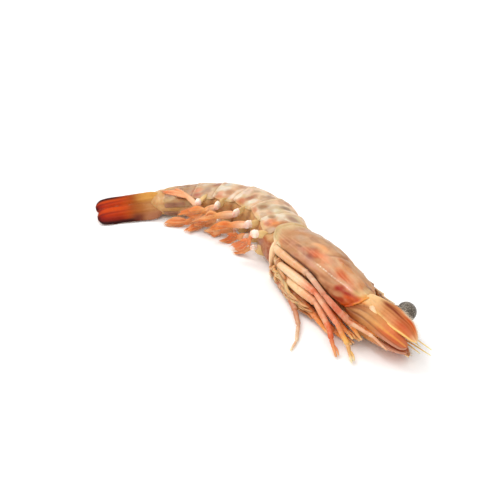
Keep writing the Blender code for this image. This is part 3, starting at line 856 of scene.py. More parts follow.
def head_tint(s, a, back, front):
    """Mottled brown, redder towards the face, with pale rims, a painted shadow along the lower edge under the
    last leg, and a painted highlight: a broken pale line along the flank's ridge.
    """
    a = np.abs(a)
    tint = linear((208, 158, 116))
    tint = paint(tint, ((224, 168, 126), 0.7 * ease(s, 16, 34)))
    tint = stain(tint, s, a, HEAD_PATCHES, 30)
    tint = paint(
        tint,
        ((150, 96, 62), 0.28 * clouds(33, 0.3, 1.2, 0.34 * s, 0.17 * a)),
        ((246, 206, 164), 0.26 * clouds(34, 0.4, 1.3, 0.14 * s, 0.36 * a)),
        ((190, 110, 62), 0.25 * clouds(35, 0.5, 1.3, 0.8 * s, 0.22 * a) * ease(s, 8, 20)),
    )
    cloudy = clouds(37, -0.8, 0.9, 0.25 * s + 0.08 * a, 0.22 * a - 0.10 * s)
    over_gills = ease(s, 12, 20) * (1 - ease(s, 41, 46)) * (1 - ease(a, 116, 130))
    tint = paint(
        tint,
        ((244, 212, 184), 0.42 * cloudy * over_gills),
        ((176, 130, 80), 0.38 * (1 - ease(a, 58, 84))),
    )
    rim = 0.9 * (1 - ease(s - back, 1.8, 5.2))
    tint = paint(
        tint,
        ((220, 192, 150), rim),
        ((230, 202, 166), 0.6 * (1 - ease(s - back, 3.0, 8.0)) * bump(a - 84, 22)),
        ((246, 222, 190), rim * ease(a, 126, 136)),
        ((242, 172, 88), 0.95 * (1 - ease(front - s, 0.8, 3.4)) * ease(a, 74, 92)),
        ((218, 110, 36), (1 - ease(front - s, 1.2, 5.0)) * ease(a, 102, 120)),
    )
    lip = (1 - ease(front - s, 0.3, 1.7)) * ease(a, 98, 108) * (1 - ease(a, 138, 152))
    tint = paint(tint, ((246, 170, 84), 0.85 * lip))
    # painted shadow: a dark brown band along the shell's lower edge, under the last leg
    leg_shadow = ease(a, SHELL_EDGE - 5.0, SHELL_EDGE - 1.0) * ease(s, 7, 12) * (1 - ease(s, 25, 33))
    tint = paint(tint, ((126, 68, 32), 0.80 * leg_shadow))
    groove = bump(s - 28.5 + 0.10 * (a - 60), 0.8) * ease(a, 24, 40) * (1 - ease(a, 84, 96))
    tint = paint(tint, (BROWN, 0.45 * groove))
    # painted highlight: a broken pale streak along the flank's ridge, where the wet shell catches the light
    ridge_highlight = bump(a - flank_ridge(s) + 0.6, 1.5) * ease(s, 25, 29) * (1 - ease(s, 42, 45))
    speckled = 0.28 + 0.72 * clouds(36, -0.2, 0.6, 6.0 * s, 0.5 * a)
    return paint(tint, ((255, 240, 226), ridge_highlight * speckled))


def build_head_shell():
    """The shell over the head and the front of the body, open below, with its beak."""
    shape = Shape()
    share, turn = np.meshgrid(np.linspace(0, 1, 170), np.linspace(-1, 1, 200), indexing="ij")
    edge = SHELL_EDGE + SHELL_FOLD * ease(share, 0.5, 1.0)
    a = edge * turn
    back, front = shell_back(a * SHELL_EDGE / edge), shell_front(a)
    s = back + (front - back) * share
    points = shell_skin(s, a, head_relief(s, a, back, front))
    heart = place(s, 0, mid_height(s))
    shape.shell(points, head_tint(s, a, back, front), SHELL_WALL, heart)
    add_rostrum(shape)
    shape.make("head_shell", SHELL, "shell", "head_shell")


def add_rostrum(shape):
    """The toothed beak: a thin upright blade with a ridge along each side."""
    last_tooth = ROSTRUM_TIP - 10
    pitch = (last_tooth - ROSTRUM_ROOT) / ROSTRUM_TEETH
    s = np.linspace(ROSTRUM_ROOT - 2, ROSTRUM_TIP, 420)[:, None]
    step = np.clip((s - ROSTRUM_ROOT) / pitch, 0, ROSTRUM_TEETH - 0.001) % 1
    tooth = TOOTH_HEIGHT * np.where(step < 0.86, (step / 0.86) ** 1.5, (1 - step) / 0.14)
    tooth = tooth * (s < last_tooth) * (s > ROSTRUM_ROOT)
    taper = ease(s, 40, ROSTRUM_TIP)
    crest = rostrum_crest(s) - 1.3 * (1 - ease(s, ROSTRUM_ROOT - 2, ROSTRUM_ROOT + 2))
    under = crest - 3.4 * (1 - 0.86 * taper)
    for end in LOWER_TEETH:
        step = np.clip((s - end) / 2.2, -1, 0)
        under = under - 0.55 * (1 + step) ** 1.5 * (s <= end)
    turn = np.linspace(0, 2 * math.pi, 22, endpoint=False)[None]
    high = 0.5 + 0.5 * np.cos(turn)
    ridge = 0.42 * bump(high - 0.42, 0.16) * (1 - 0.5 * taper)
    thick = (0.16 + 0.30 * np.sqrt(np.clip(high * (1 - high) * 4, 0, 1)) + ridge) * (1 - 0.62 * taper)
    tip = np.sqrt(np.clip((ROSTRUM_TIP + 0.01 - s) / 1.6, 0.02, 1))
    top = crest + tooth
    d = under + (top - under) * high * tip + (1 - tip) * 0.4 * (top - under)
    across = np.sign(np.sin(turn)) * thick * np.abs(np.sin(turn)) ** 0.6 * tip
    points = place(s, d, mid_height(s) + across)
    tint = paint(
        linear((204, 158, 112)),
        ((176, 128, 86), ease(s, 24, 40)),
        ((240, 214, 176), 0.85 * ease(high, 0.6, 0.9) * ease(s, 38, 46)),
        ((116, 84, 56), 0.8 * bump(high - 0.42, 0.12) * ease(s, 26, 40)),
        ((196, 112, 62), 0.6 * ease(s, 54, 64) * (1 - high)),
    )
    shape.closed(points, tint)


# ---- chest, gills and face ----

CHEST_HEIGHT = 6.6
HIP_PLATE = (  # (s, d, distance outwards, half width, half thickness)
    (3.0, -6.0, 6.16, 2.4, 1.3), (3.6, -8.2, 5.632, 3.0, 1.8),
    (5.2, -10.4, 3.74, 3.0, 1.8), (8.0, -12.8, 0.44, 1.8, 1.2),
)
HIP_STOPS = ((0.0, (222, 190, 146)), (0.3, (248, 222, 190)), (0.7, (240, 208, 172)), (1.0, (196, 150, 112)))


def build_chest():
    """The underside between the flanks: a ridged breast, and the soft bases that the legs grow from."""
    shape = Shape()
    s = np.linspace(1.5, 43, 110)[:, None]
    a = np.linspace(-180, 180, 130, endpoint=False)[None]
    behind, before = np.clip(3.5 - s, 0, 2) / 2.2, np.clip(s - 40, 0, 3) / 3.4
    ends = np.sqrt(np.clip(1 - behind**2 - before**2, 0.05, 1))
    ridges = -0.5 * np.abs(np.sin(s * math.pi / 6.2)) ** 0.5 * ease(np.abs(a), 140, 165)
    folds = 0.25 * ripple(13, 1.1 * s, 0.12 * a)
    points = shell_skin(s, a, -1.0 + ridges + folds, ends * (1 - 0.04 * ease(np.abs(a), 140, 180)))
    tint = paint(
        linear((176, 110, 66)),
        ((206, 152, 108), 0.5 + 0.5 * ripple(5, s, 0.1 * a)),
        # painted shadow: dark brown from s 19 forwards, where the legs and the head shell shade the breast
        ((122, 58, 24), 0.85 * ease(s, 19, 27)),
    )
    shape.closed(points, tint)
    for name, stations in LEGS.items():
        if name.startswith("leg"):
            add_leg_base(shape, np.array(stations[0][:3]), 1.35 if name[-1] in "45" else 1.15)
    for sign in SIDES.values():
        add_hip_plate(shape, sign)
    shape.make("chest", FLESH, "flesh", "chest")


def add_leg_base(shape, root, size):
    """The short folded joint between the breast and a leg."""
    inner = root + np.array((-1.6, 2.8, 0.35 * (CHEST_HEIGHT - root[2])))
    middle = 0.5 * (inner + root) + np.array((-0.6, -0.4, 0.0))
    end = root + (1.0, -0.2, 0.0)
    stations = widened(size, (inner, 2.1, 1.7), (middle, 1.9, 1.5), (root, 1.3, 1.1), (end, 1.0, 0.9))
    points, share, _ = blade_points(stations, (0.3, 1.0), 40, 30, tip=0.3, ribs=(HOLLOW,))
    crease = bump(share - 0.42, 0.06) + bump(share - 0.72, 0.05)
    tint = paint(linear((208, 158, 116)), ((120, 72, 42), 0.6 * crease))
    shape.closed(points, tint)


def add_hip_plate(shape, sign):
    """The pale plate behind the head shell's lower corner, from which the last leg hangs."""
    stations = [(s, d, CHEST_HEIGHT + sign * out, wide, thick) for s, d, out, wide, thick in HIP_PLATE]
    points, share, across = blade_points(
        stations, (0.2, sign), 40, 28, tip=0.25, ribs=((0.2, 0.3, 0.25),), wave=0.2, seed=6
    )
    tint = along_stops(share, HIP_STOPS)
    shape.closed(points, paint(tint, ((150, 100, 66), 0.5 * bump(across + 0.7, 0.2))))


FOLD_COUNT, THREAD_COUNT, CURL_COUNT = 8, 34, 9
THREAD_EDGE = through(
    ((0, -7.6), (5, -10.6), (9.5, -12.8), (17.5, -15.0), (24.5, -15.8), (34, -15.4), (44, -14.0))
)
LOWEST_FOLD, LOWEST_THREAD = 1.2, 0.8  # heights
FOLD_STOPS = ((0.0, (216, 184, 142)), (0.4, (200, 160, 118)), (0.7, (216, 170, 122)), (1.0, (196, 138, 90)))
THREAD_TIP = (216, 160, 112)
PALE_THREAD, DARK_THREAD = ((242, 208, 162), (206, 162, 118)), ((214, 172, 130), (184, 134, 92))


def thread_tint(random, share, seed):
    pale, dark = PALE_THREAD if random.uniform() < 0.7 else DARK_THREAD
    tint = along_stops(share, ((0.0, dark), (0.35, pale), (1.0, THREAD_TIP)))
    return paint(tint, ((166, 112, 70), 0.35 * clouds(seed, 0.2, 1.0, 9 * share)))


def gill_fold(random, number):
    """A broad soft fold that hangs from the hip and curves forwards along the breast's edge."""
    row = number / (FOLD_COUNT - 1)
    stations = []
    for share in np.linspace(0, 1, 7):
        s = 3.6 + 2.2 * row + 15.0 * share
        d = THREAD_EDGE(s) + 1.0 + 1.2 * row * (1 - share) + random.uniform(-0.2, 0.2)
        z = CHEST_HEIGHT + (4.4 - 6.6 * row) * (1 - 0.5 * share)
        stations.append((s, d, max(z, LOWEST_FOLD), (1.25 - 0.6 * share) * random.uniform(0.85, 1.15)))
    points, girth, share = limb_line(stations, 1.2, cuffs=False, swelling=(0.1,))
    return points, girth, leg_streaks(points, along_stops(share, FOLD_STOPS))


def gill_thread(random, number):
    """A flattened thread that runs forwards along the breast's edge and sinks below it."""
    first, length = random.uniform(3.0, 24.0), random.uniform(10.0, 20.0)
    inset, level, stray = random.uniform(-0.3, 3.6), random.uniform(-3.2, 3.0), random.uniform(-1.0, 1.0)
    stations = []
    for share in np.linspace(0, 1, 9):
        s = first + length * share
        d = THREAD_EDGE(s) + inset * (1 - float(ease(s, 15, 22))) + 0.35 * math.sin(0.9 * s + number)
        z = CHEST_HEIGHT - 1.2 + level - (1.4 + 0.5 * level) * float(ease(s, 16, 24)) + stray * share
        stations.append((s, d, max(z, LOWEST_THREAD), random.uniform(0.8, 1.25) * (1 - 0.6 * share)))
    points, girth, share = limb_line(stations, step_mm=0.3, cuffs=False)
    return points, girth, thread_tint(random, share, 18 + number)


def gill_curl(random, number):
    """A short curl among the threads."""
    s, level = random.uniform(6.5, 15.0), random.uniform(-2.5, 2.6)
    d, z = THREAD_EDGE(s) + random.uniform(0.4, 2.6), CHEST_HEIGHT + level
    radius, turn, start = random.uniform(1.8, 2.8), random.uniform(2.0, 3.2), random.uniform(-0.6, 1.2)
    stations = []
    for t in start + np.linspace(0, turn, 8):
        forwards = radius * (math.cos(t) - math.cos(start)) + 1.2 * (t - start)
        down = radius * (math.sin(t) - math.sin(start))
        stations.append((s + forwards, d - down, max(z + 0.5 * (t - start), LOWEST_THREAD), 1.0))
    points, girth, share = limb_line(stations, 0.8, 0.25, cuffs=False)
    return points, girth, thread_tint(random, share, 118 + number)


def build_gill_threads():
    """Folds, threads and curls of gill and hip below the breast, swept forwards."""
    random = np.random.default_rng(17)
    parts = ((gill_fold, FOLD_COUNT), (gill_thread, THREAD_COUNT), (gill_curl, CURL_COUNT))
    lines = [make(random, number) for make, count in parts for number in range(count)]
    sweep("gill_threads", lines, FLESH, "flesh", sides=10, flatness=0.5)


FACE_PATCHES = (  # (s, a, half length, half angle, lean, strength, colour)
    (47, 150, 4, 30, 0.0, 0.85, (166, 84, 44)),
    (56, 122, 5, 16, 0.0, 0.85, (172, 106, 66)),
    (49.6, 118, 4.6, 24, 0.0, 1.0, (255, 178, 84)),
    (53, 92, 5, 20, 0.0, 0.95, (238, 196, 146)),
    (50, 78, 3.8, 18, 0.0, 1.0, (255, 226, 174)),
    (54, 66, 4, 16, 0.0, 0.8, (222, 168, 120)),
    (49, 34, 4, 16, 0.0, 0.8, (170, 120, 82)),
)
FACE_LENGTH = 13.0


def build_face():
    """The front of the head: it narrows from the head shell to the eyes, the feelers and the mouth."""
    shape = Shape()
    reach = np.linspace(-6, FACE_LENGTH, 110)[:, None]
    a = np.linspace(-180, 180, 160, endpoint=False)[None]
    flank = bump(np.abs(a) - 84, 46)
    size = 0.955 - (0.17 - 0.13 * flank) * ease(reach, -2, 4)
    size = size - (0.50 - 0.14 * flank) * ease(reach, 3 + 2 * flank, FACE_LENGTH)
    slope = SHELL_LENGTH - 3.0 * (np.minimum(np.abs(a), SHELL_EDGE) / SHELL_EDGE) ** 2
    folds = 0.020 * ripple(7, 0.5 * reach, 0.08 * a) + 0.012 * ripple(8, 1.2 * reach, 0.2 * a)
    sockets = -0.20 * bump(np.abs(a) - 30, 16) * ease(reach, -1.0, 3.0)
    mouth = -0.12 * bump(np.abs(a) - 180, 24) * ease(reach, -3.0, 3.0)
    end = np.sqrt(np.clip((FACE_LENGTH - reach) / 2.5, 0.04, 1))
    size = (size + folds + sockets + mouth) * end
    angle = np.radians(a)
    wide = half_width(SHELL_LENGTH) * signed_power(np.sin(angle), 0.88) * size
    tall = np.where(np.cos(angle) > 0, back_height(SHELL_LENGTH), belly_depth(SHELL_LENGTH))
    d = tall * signed_power(np.cos(angle), 0.95) * size
    points = place(slope + reach, d - 0.4 - 0.8 * ease(reach, 3, FACE_LENGTH), BEAK_HEIGHT + wide)
    tint = paint(linear((218, 166, 118)), (BROWN, 0.25 + 0.35 * ripple(6, reach, 0.08 * a)))
    tint = stain(tint, SHELL_LENGTH + reach, np.abs(a), FACE_PATCHES, 90)
    shape.closed(points, tint)
    shape.make("face", FLESH, "flesh", "face")


# ---- tail segments ----

TAIL_PATCHES = (
    (-7.0, 118, 3.0, 18, 0.1, 0.8, (240, 152, 104)),
    (-4.8, 106, 2.2, 18, 0.2, 0.9, (236, 160, 98)),
    (-6.6, 128, 2.2, 10, 0.2, 0.85, (206, 136, 98)),
    (-4.6, 88, 2.0, 12, 0.2, 0.8, (202, 146, 104)),
    (-6.8, 68, 2.2, 15, 0.3, 0.85, (186, 150, 132)),
    (-10.2, 107, 1.3, 11, 0.3, 0.75, (178, 142, 106)),
    (-19.4, 107, 2.3, 16, 0.25, 0.95, (176, 134, 96)),
    (-30.0, 107, 2.2, 16, 0.25, 0.95, (186, 132, 102)),
    (-42.5, 106, 2.5, 17, 0.25, 0.85, (200, 154, 120)),
    (-54.0, 105, 2.5, 16, 0.25, 0.85, (192, 160, 142)),
    (-21.0, 136, 3.0, 14, 0.2, 0.85, (216, 148, 106)),
    (-32.2, 135, 2.8, 18, 0.2, 0.95, (208, 134, 88)),
    (-45.4, 133, 3.0, 17, 0.2, 0.9, (214, 142, 94)),
    (-46.2, 119, 2.2, 10, 0.2, 0.6, (236, 168, 138)),
    (-58.2, 126, 3.6, 18, 0.2, 0.95, (212, 110, 78)),
    (-58.4, 108, 3.0, 12, 0.2, 0.8, (250, 168, 134)),
    (-15.2, 68, 1.5, 16, 0.3, 0.9, (164, 138, 114)),
    (-16.6, 84, 1.5, 10, 0.3, 0.5, (206, 178, 152)),
    (-25.0, 74, 2.2, 16, 0.3, 0.9, (184, 152, 124)),
    (-31.4, 76, 1.7, 14, 0.3, 0.75, (190, 160, 130)),
    (-39.0, 68, 3.0, 16, 0.3, 0.85, (196, 146, 112)),
    (-49.8, 70, 3.4, 21, 0.2, 0.95, (184, 120, 76)),
    (-64.6, 72, 5.4, 19, 0.2, 0.95, (190, 136, 86)),
    (-12.6, 38, 2.4, 12, 0.3, 0.7, (192, 152, 116)),
    (-19.5, 46, 2.8, 14, 0.3, 0.85, (192, 146, 118)),
    (-28.6, 50, 2.2, 13, 0.3, 0.75, (206, 156, 118)),
    (-38.6, 46, 3.0, 14, 0.3, 0.8, (200, 148, 106)),
    (-51.0, 44, 2.6, 14, 0.3, 0.8, (200, 140, 94)),
    (-4.5, 6, 2.6, 20, 0.0, 0.85, (204, 142, 98)),
    (-15.6, 6, 3.4, 20, 0.0, 0.9, (200, 134, 88)),
    (-27.6, 6, 3.6, 19, 0.0, 0.9, (200, 132, 84)),
    (-39.6, 6, 3.4, 19, 0.0, 0.9, (200, 130, 82)),
    (-50.6, 6, 3.0, 19, 0.0, 0.9, (198, 126, 78)),
    (-62.0, 6, 3.2, 19, 0.0, 0.9, (196, 120, 72)),
    (-73.0, 6, 3.6, 19, 0.0, 0.9, (196, 112, 60)),
    # painted highlight: a pale bluish-grey wet gleam across the upper flank
    (-45.6, 74, 1.5, 24, 0.2, 0.9, (214, 206, 196)),
    (-35.8, 92, 3.0, 16, 0.2, 0.6, (234, 206, 194)),
    (-68.0, 104, 8.5, 19, 0.2, 0.95, (206, 168, 152)),
    (-64.5, 140, 4.0, 18, 0.1, 0.8, (200, 120, 80)),
    (-73.0, 72, 4.4, 14, 0.0, 0.8, (240, 190, 118)),
    (-72.0, 45, 3.6, 14, 0.2, 0.8, (214, 150, 84)),
    (-70.0, 165, 8.0, 18, 0.0, 0.8, (206, 150, 128)),
)
MAIN_COLOUR = (230, 200, 172)


def border(index, a):
    """Where the hinge line behind tail segment index lies. Index 0 is the head shell's back edge."""
    a = np.abs(a)
    if index == 0:
        return shell_back(np.minimum(a, FLANK_CORNER)) - 0.4
    lobe = 2.2 if index < len(SEGMENT_LENGTHS) else 0.6
    turn = np.radians(a)
    return -sum(SEGMENT_LENGTHS[:index]) - lobe * np.maximum(0.0, -np.cos(turn)) * np.abs(np.sin(turn))


def tail_tint(s, a, back, from_hinge):
    """Pale, clouded rings with brown bands along their edges, a painted shadow just behind each hinge where
    the ring ahead overlaps, and a painted highlight on the fourth ring; darker towards the fan.
    """
    a = np.abs(a)
    bloom = clouds(26, 0.1, 1.0, 0.5 * s + 0.05 * a, 0.09 * a)
    tint = paint(
        linear(MAIN_COLOUR),
        ((240, 190, 156), 0.55 * clouds(21, -0.2, 1.0, 0.30 * s, 0.05 * a)),
        ((214, 196, 160), 0.55 * clouds(22, 0.0, 1.1, 0.34 * s, 0.06 * a)),
        ((244, 232, 220), 0.60 * bloom * ease(a, 50, 80)),
        ((232, 184, 132), 0.7 * ease(-s, 48, 66)),
        ((228, 182, 142), 0.6 * (1 - ease(a, 20, 60))),
    )
    tint = stain(tint, s, a, TAIL_PATCHES, 60)
    tint = paint(
        tint,
        ((228, 188, 128), 0.45 * ease(a, 132, 146) * (1 - ease(a, 156, 164))),
        ((170, 124, 88), 0.30 * clouds(23, 0.5, 1.2, 0.5 * s, 0.10 * a)),
        # painted shadow: a darker band just behind the hinge, where the ring ahead overlaps this one
        ((172, 124, 88), 0.40 * (1 - ease(from_hinge, 0.1, 1.4))),
        ((180, 136, 100), 0.35 * bump(s - back - 1.5, 0.7) * clouds(24, -0.4, 0.6, 0.2 * s, 0.1 * a)),
        ((238, 212, 182), 0.45 * (1 - ease(s - back, 0.2, 1.6)) * ease(s, -78, -66)),
    )
    return tint * (1 - 0.24 * ease(-s, 44, 66))[..., None]


def build_tail_segment(index):
    """One tail ring: it slips under the ring ahead, swells to its back edge and hangs in rounded lobes."""
    shape = Shape()
    share, turn = np.meshgrid(np.linspace(0, 1, 80), np.linspace(-1, 1, 190), indexing="ij")
    lobe = 151 - 15 * np.abs(2 * share - 1) ** 2.6 if index < len(SEGMENT_LENGTHS) else 178
    a = lobe * turn
    tuck = 2.6
    front = border(index - 1, a) + tuck
    back = border(index, a) + 0.1
    s = front + (back - front) * share
    from_hinge = border(index - 1, a) - s
    swell = 0.944 + 0.032 * ease(from_hinge, -tuck, 1.5) + 0.046 * ease(share, 0.25, 1)
    bead = 0.08 * bump(s - back - 0.35, 0.35) - 0.08 * bump(s - back - 1.3, 0.6)
    waist = -0.20 * bump(from_hinge - 3.0, 1.1)
    if index == len(SEGMENT_LENGTHS):
        waist = waist - 1.5 * ease(share, 0.55, 1.0) ** 2
    keel = 0.55 * bump(a, 6) * ease(index + share, 3.6, 5.5)
    knob = 0.40 * bump(np.abs(a) - 96, 4) * bump(s - back - 1.0, 1.2)
    rim = 0.12 * bump(np.abs(turn) - 0.985, 0.012)
    waves = 0.13 * ripple(20 + index, 0.4 * s, 0.07 * a) + 0.06 * ripple(40 + index, 1.1 * s, 0.2 * a)
    points = tail_skin(s, a, bead + waist + keel + knob + rim + waves, swell)
    heart = place(s, 0, mid_height(s))
    shape.shell(points, tail_tint(s, a, back, from_hinge), RING_WALL, heart)
    name = f"tail_segment_{index}"
    shape.make(name, SHELL, "shell", name)


def build_tail_flesh():
    """The meat that fills the tail rings, with a cross ridge under each ring."""
    shape = Shape()
    s = np.linspace(3.5, TAIL_END - 3.0, 200)[:, None]
    a = np.linspace(-180, 180, 90, endpoint=False)[None]
    end = 1 - 0.22 * ease(s, 0.5, 3.5)
    end = end * np.sqrt(np.clip(1 - (np.clip(TAIL_END + 2.5 - s, 0, 5.5) / 5.6) ** 2, 0.02, 1))
    hinge = sum(bump(s + sum(SEGMENT_LENGTHS[:index]) + 1.0, 1.6) for index in range(1, 6))
    under = ease(np.abs(a), 135, 160)
    swell = (0.925 - 0.012 * hinge + under * (0.035 - 0.05 * hinge)) * end
    points = tail_skin(s, a, 0.06 * ripple(3, 0.8 * s, 0.2 * a), swell)
    tint = paint(
        linear((212, 172, 118)),
        ((164, 104, 56), 0.7 * under * hinge),
        ((196, 146, 96), 0.35 + 0.35 * ripple(4, 0.9 * s, 0.1 * a)),
    )
    # towards the head the flesh turns tan, with painted shade: darker orange-brown on the belly and on the
    # left side, which lies on the ground
    throat = ease(s, -13, -5)
    tint = paint(
        tint,
        ((206, 160, 108), 0.8 * throat),
        ((178, 98, 44), 0.9 * throat * ease(np.abs(a), 148, 164)),
        ((168, 82, 36), 0.8 * throat * ease(-a, 60, 100)),
    )
    shape.closed(points, tint)
    shape.make("tail_flesh", FLESH, "flesh")


# ---- tail fan ----

FAN_WAY = (0.72, 0.69)  # (d, z) direction from the fan's left to its right edge
FAN_ROOT, FAN_TIP = (-2.2, 2.8), (-4.0, 2.1)  # (d, z) of the telson's root and tip
POINTED = (  # (share of the length, half width, half thickness)
    (0.0, 3.4, 2.4), (0.14, 3.3, 1.7), (0.35, 2.8, 0.9), (0.65, 1.9, 0.5), (1.0, 0.5, 0.25),
)
ROUNDED = (
    (0.0, 1.2, 1.4), (0.07, 2.5, 1.7), (0.16, 3.1, 1.4), (0.3, 3.1, 0.6), (0.6, 3.0, 0.34),
    (0.9, 2.8, 0.22), (1.0, 2.2, 0.16),
)
TELSON_RIBS = ((0.0, 0.22, -0.35), (0.34, 0.12, 0.22), (-0.34, 0.12, 0.22))
UROPOD_RIBS = ((0.12, 0.10, 0.30), (-0.30, 0.06, 0.10), (0.5, 0.06, 0.10), (0.8, 0.05, 0.08))
FAN_COLUMNS = 56
FAN_LEAVES = (  # (name, length, places across the fan of its root and tip, layer, outline, width factor)
    ("telson", 21.5, (0.0, 0.0), -0.2, POINTED, 1.0),
    ("uropod_inner_right", 23.4, (2.2, 1.8), 0.9, ROUNDED, 1.0),
    ("uropod_inner_left", 22.6, (-1.6, -1.2), 1.5, ROUNDED, 1.0),
    ("uropod_outer_right", 25.0, (2.9, 2.5), 2.1, ROUNDED, 1.2),
    ("uropod_outer_left", 24.6, (-2.2, -1.9), 2.7, ROUNDED, 1.2),
)
FAN_STOPS = (
    (0.0, (198, 150, 112)), (0.22, (200, 148, 100)), (0.36, (188, 122, 64)), (0.5, (182, 98, 28)),
    (0.64, (202, 84, 0)), (0.86, (206, 76, 0)), (0.95, (174, 44, 4)), (1.0, (84, 20, 12)),
)


def fan_tint(share, across, lean):
    """Brown at the root and orange to dark red at the tip, with a dark edge on the outer side."""
    tint = along_stops(np.clip(share + 0.03 * ripple(70, 6 * share, 2 * across), 0, 1), FAN_STOPS)
    tint = paint(
        tint,
        ((232, 110, 12), 0.8 * clouds(71, 0.0, 1.2, 4 * share, 7 * across) * ease(share, 0.4, 0.6)),
        ((128, 36, 6), 0.85 * clouds(72, 0.0, 1.1, 3 * share, 8 * across) * ease(share, 0.3, 0.5)),
    )
    if lean > 0:
        return paint(
            tint,
            ((70, 18, 26), 0.95 * ease(across, 0.55, 0.9) * ease(share, 0.40, 0.8)),
            ((226, 172, 96), 0.85 * ease(across, -0.4, 0.3) * (1 - ease(share, 0.26, 0.48))),
        )
    low = ease(-across, -0.2, 0.6)
    return paint(
        tint,
        ((130, 18, 2), 0.75 * low * ease(share, 0.45, 0.65)),
        ((128, 60, 50), 0.85 * low * bump(share - 0.38, 0.13)),
        ((190, 134, 108), 0.8 * low * (1 - ease(share, 0.18, 0.34))),
        ((66, 12, 14), 0.95 * ease(-across, 0.5, 0.85) * ease(share, 0.34, 0.5)),
    )


def build_tail_fan():
    """The pointed telson and two pairs of rounded leaves, laid in layers one over another."""
    wide_d, wide_z = np.array(FAN_WAY) / np.hypot(*FAN_WAY)
    root = TAIL_END + 3.2
    for name, length, lean, layer, outline, factor in FAN_LEAVES:
        shape = Shape()
        stations = []
        for share, wide, thick in outline:
            across = lean[0] * (1 - share) + lean[1] * share
            d = FAN_ROOT[0] * (1 - share) + FAN_TIP[0] * share + wide_d * across - wide_z * layer
            z = FAN_ROOT[1] * (1 - share) + FAN_TIP[1] * share + wide_z * across + wide_d * layer
            stations.append((root - (length + 4.4) * share, d, z, wide * factor, thick))
        ribs = TELSON_RIBS if name == "telson" else UROPOD_RIBS
        points, share, across = blade_points(
            stations, FAN_WAY, 120, FAN_COLUMNS, camber=0.12, tip=0.09, ribs=ribs, wave=0.18, seed=len(name)
        )
        shape.closed(points, fan_tint(share, across, lean[1]))
        shape.make(name, BLADE, "tail_fan", name)
        if name != "telson":
            for rail, first in ((0, 0.45), (FAN_COLUMNS // 2, 0.25)):
                edge_fringe(points, share, rail, first, 1.1, 0.5, linear(FAN_BRISTLE))


# ---- legs ----

LEGS = {  # stations of (s, d, z, radius), root to tip
    "leg_right_5": (
        (3.8, -8.5, 12.5, 1.8), (26.4, -9.8, 14.2, 1.2), (39.4, -12.1, 13.2, 0.95),
        (53.6, -12.6, 10.6, 0.9), (64.4, -10.2, 9.8, 0.6), (71.0, -9.0, 7.4, 0.3),
    ),
    "leg_right_4": (
        (11.0, -12.0, 10.6, 1.4), (34.0, -11.9, 11.0, 1.25), (50.0, -14.6, 8.0, 1.0),
        (57.5, -15.4, 3.6, 0.9), (63.8, -18.6, 1.4, 0.4),
    ),
    "leg_right_3": (
        (16.4, -12.3, 7.6, 1.5), (36.0, -13.2, 8.0, 1.25), (48.0, -16.4, 5.4, 1.05),
        (51.5, -18.2, 3.6, 0.9), (58.0, -21.0, 1.0, 0.4),
    ),
    "leg_right_2": (
        (32.0, -10.4, 10.4, 1.0), (42.0, -10.4, 9.6, 1.0), (52.0, -10.8, 8.2, 0.9), (60.0, -11.0, 5.4, 0.4),
    ),
    "leg_right_1": (
        (33.0, -10.6, 7.5, 1.0), (41.0, -11.0, 7.0, 1.0), (49.0, -11.8, 6.1, 0.8), (57.0, -12.6, 4.6, 0.4),
    ),
    "leg_left_5": (
        (12.0, -12.8, 3.6, 1.4), (22.0, -15.0, 3.4, 1.2), (30.0, -18.2, 2.6, 0.9), (36.5, -21.6, 1.7, 0.7),
        (42.5, -27.0, 0.8, 0.5), (45.4, -32.0, 0.6, 0.3),
    ),
    "leg_left_4": (
        (14.0, -12.6, 2.2, 1.5), (35.0, -13.4, 2.6, 1.4), (44.0, -14.6, 1.8, 0.7),
    ),
    "leg_left_3": (
        (20.0, -12.9, 4.2, 1.2), (28.0, -13.4, 4.2, 1.1), (38.0, -14.6, 3.0, 1.0), (48.0, -15.6, 1.6, 0.5),
    ),
    "leg_left_2": (
        (30.0, -12.0, 2.4, 1.0), (38.0, -12.4, 1.9, 1.0), (46.0, -12.6, 1.5, 0.9), (56.0, -12.0, 1.0, 0.5),
    ),
    "leg_left_1": (
        (33.0, -10.6, 5.0, 1.0), (41.0, -10.8, 4.5, 1.0), (50.0, -11.0, 3.8, 0.8), (58.0, -10.0, 3.2, 0.4),
    ),
    "jaw_leg_right": (
        (41.0, -8.8, 7.4, 0.8), (50.0, -8.4, 7.6, 0.9), (58.0, -7.0, 7.4, 0.9), (68.0, -5.2, 7.2, 0.4),
    ),
    "jaw_leg_left": (
        (41.0, -8.6, 5.2, 0.8), (50.0, -8.4, 4.9, 0.9), (58.0, -7.2, 4.4, 0.8), (66.0, -5.6, 4.0, 0.4),
    ),
}
LEG_SWELLING = {  # how far each article swells between its joints, from the base
    "leg_right_5": (0.0, 0.42, 0.05, 0.40, 0.05, 0.0), "leg_right_4": (0.0, 0.45, 0.08, 0.08, 0.0),
    "leg_right_3": (0.0, 0.65, 0.05, 0.05, 0.0),
}
PINCER_LEGS = ("leg_right_4", "leg_right_3", "leg_right_1", "leg_left_3", "leg_left_2", "leg_left_1")
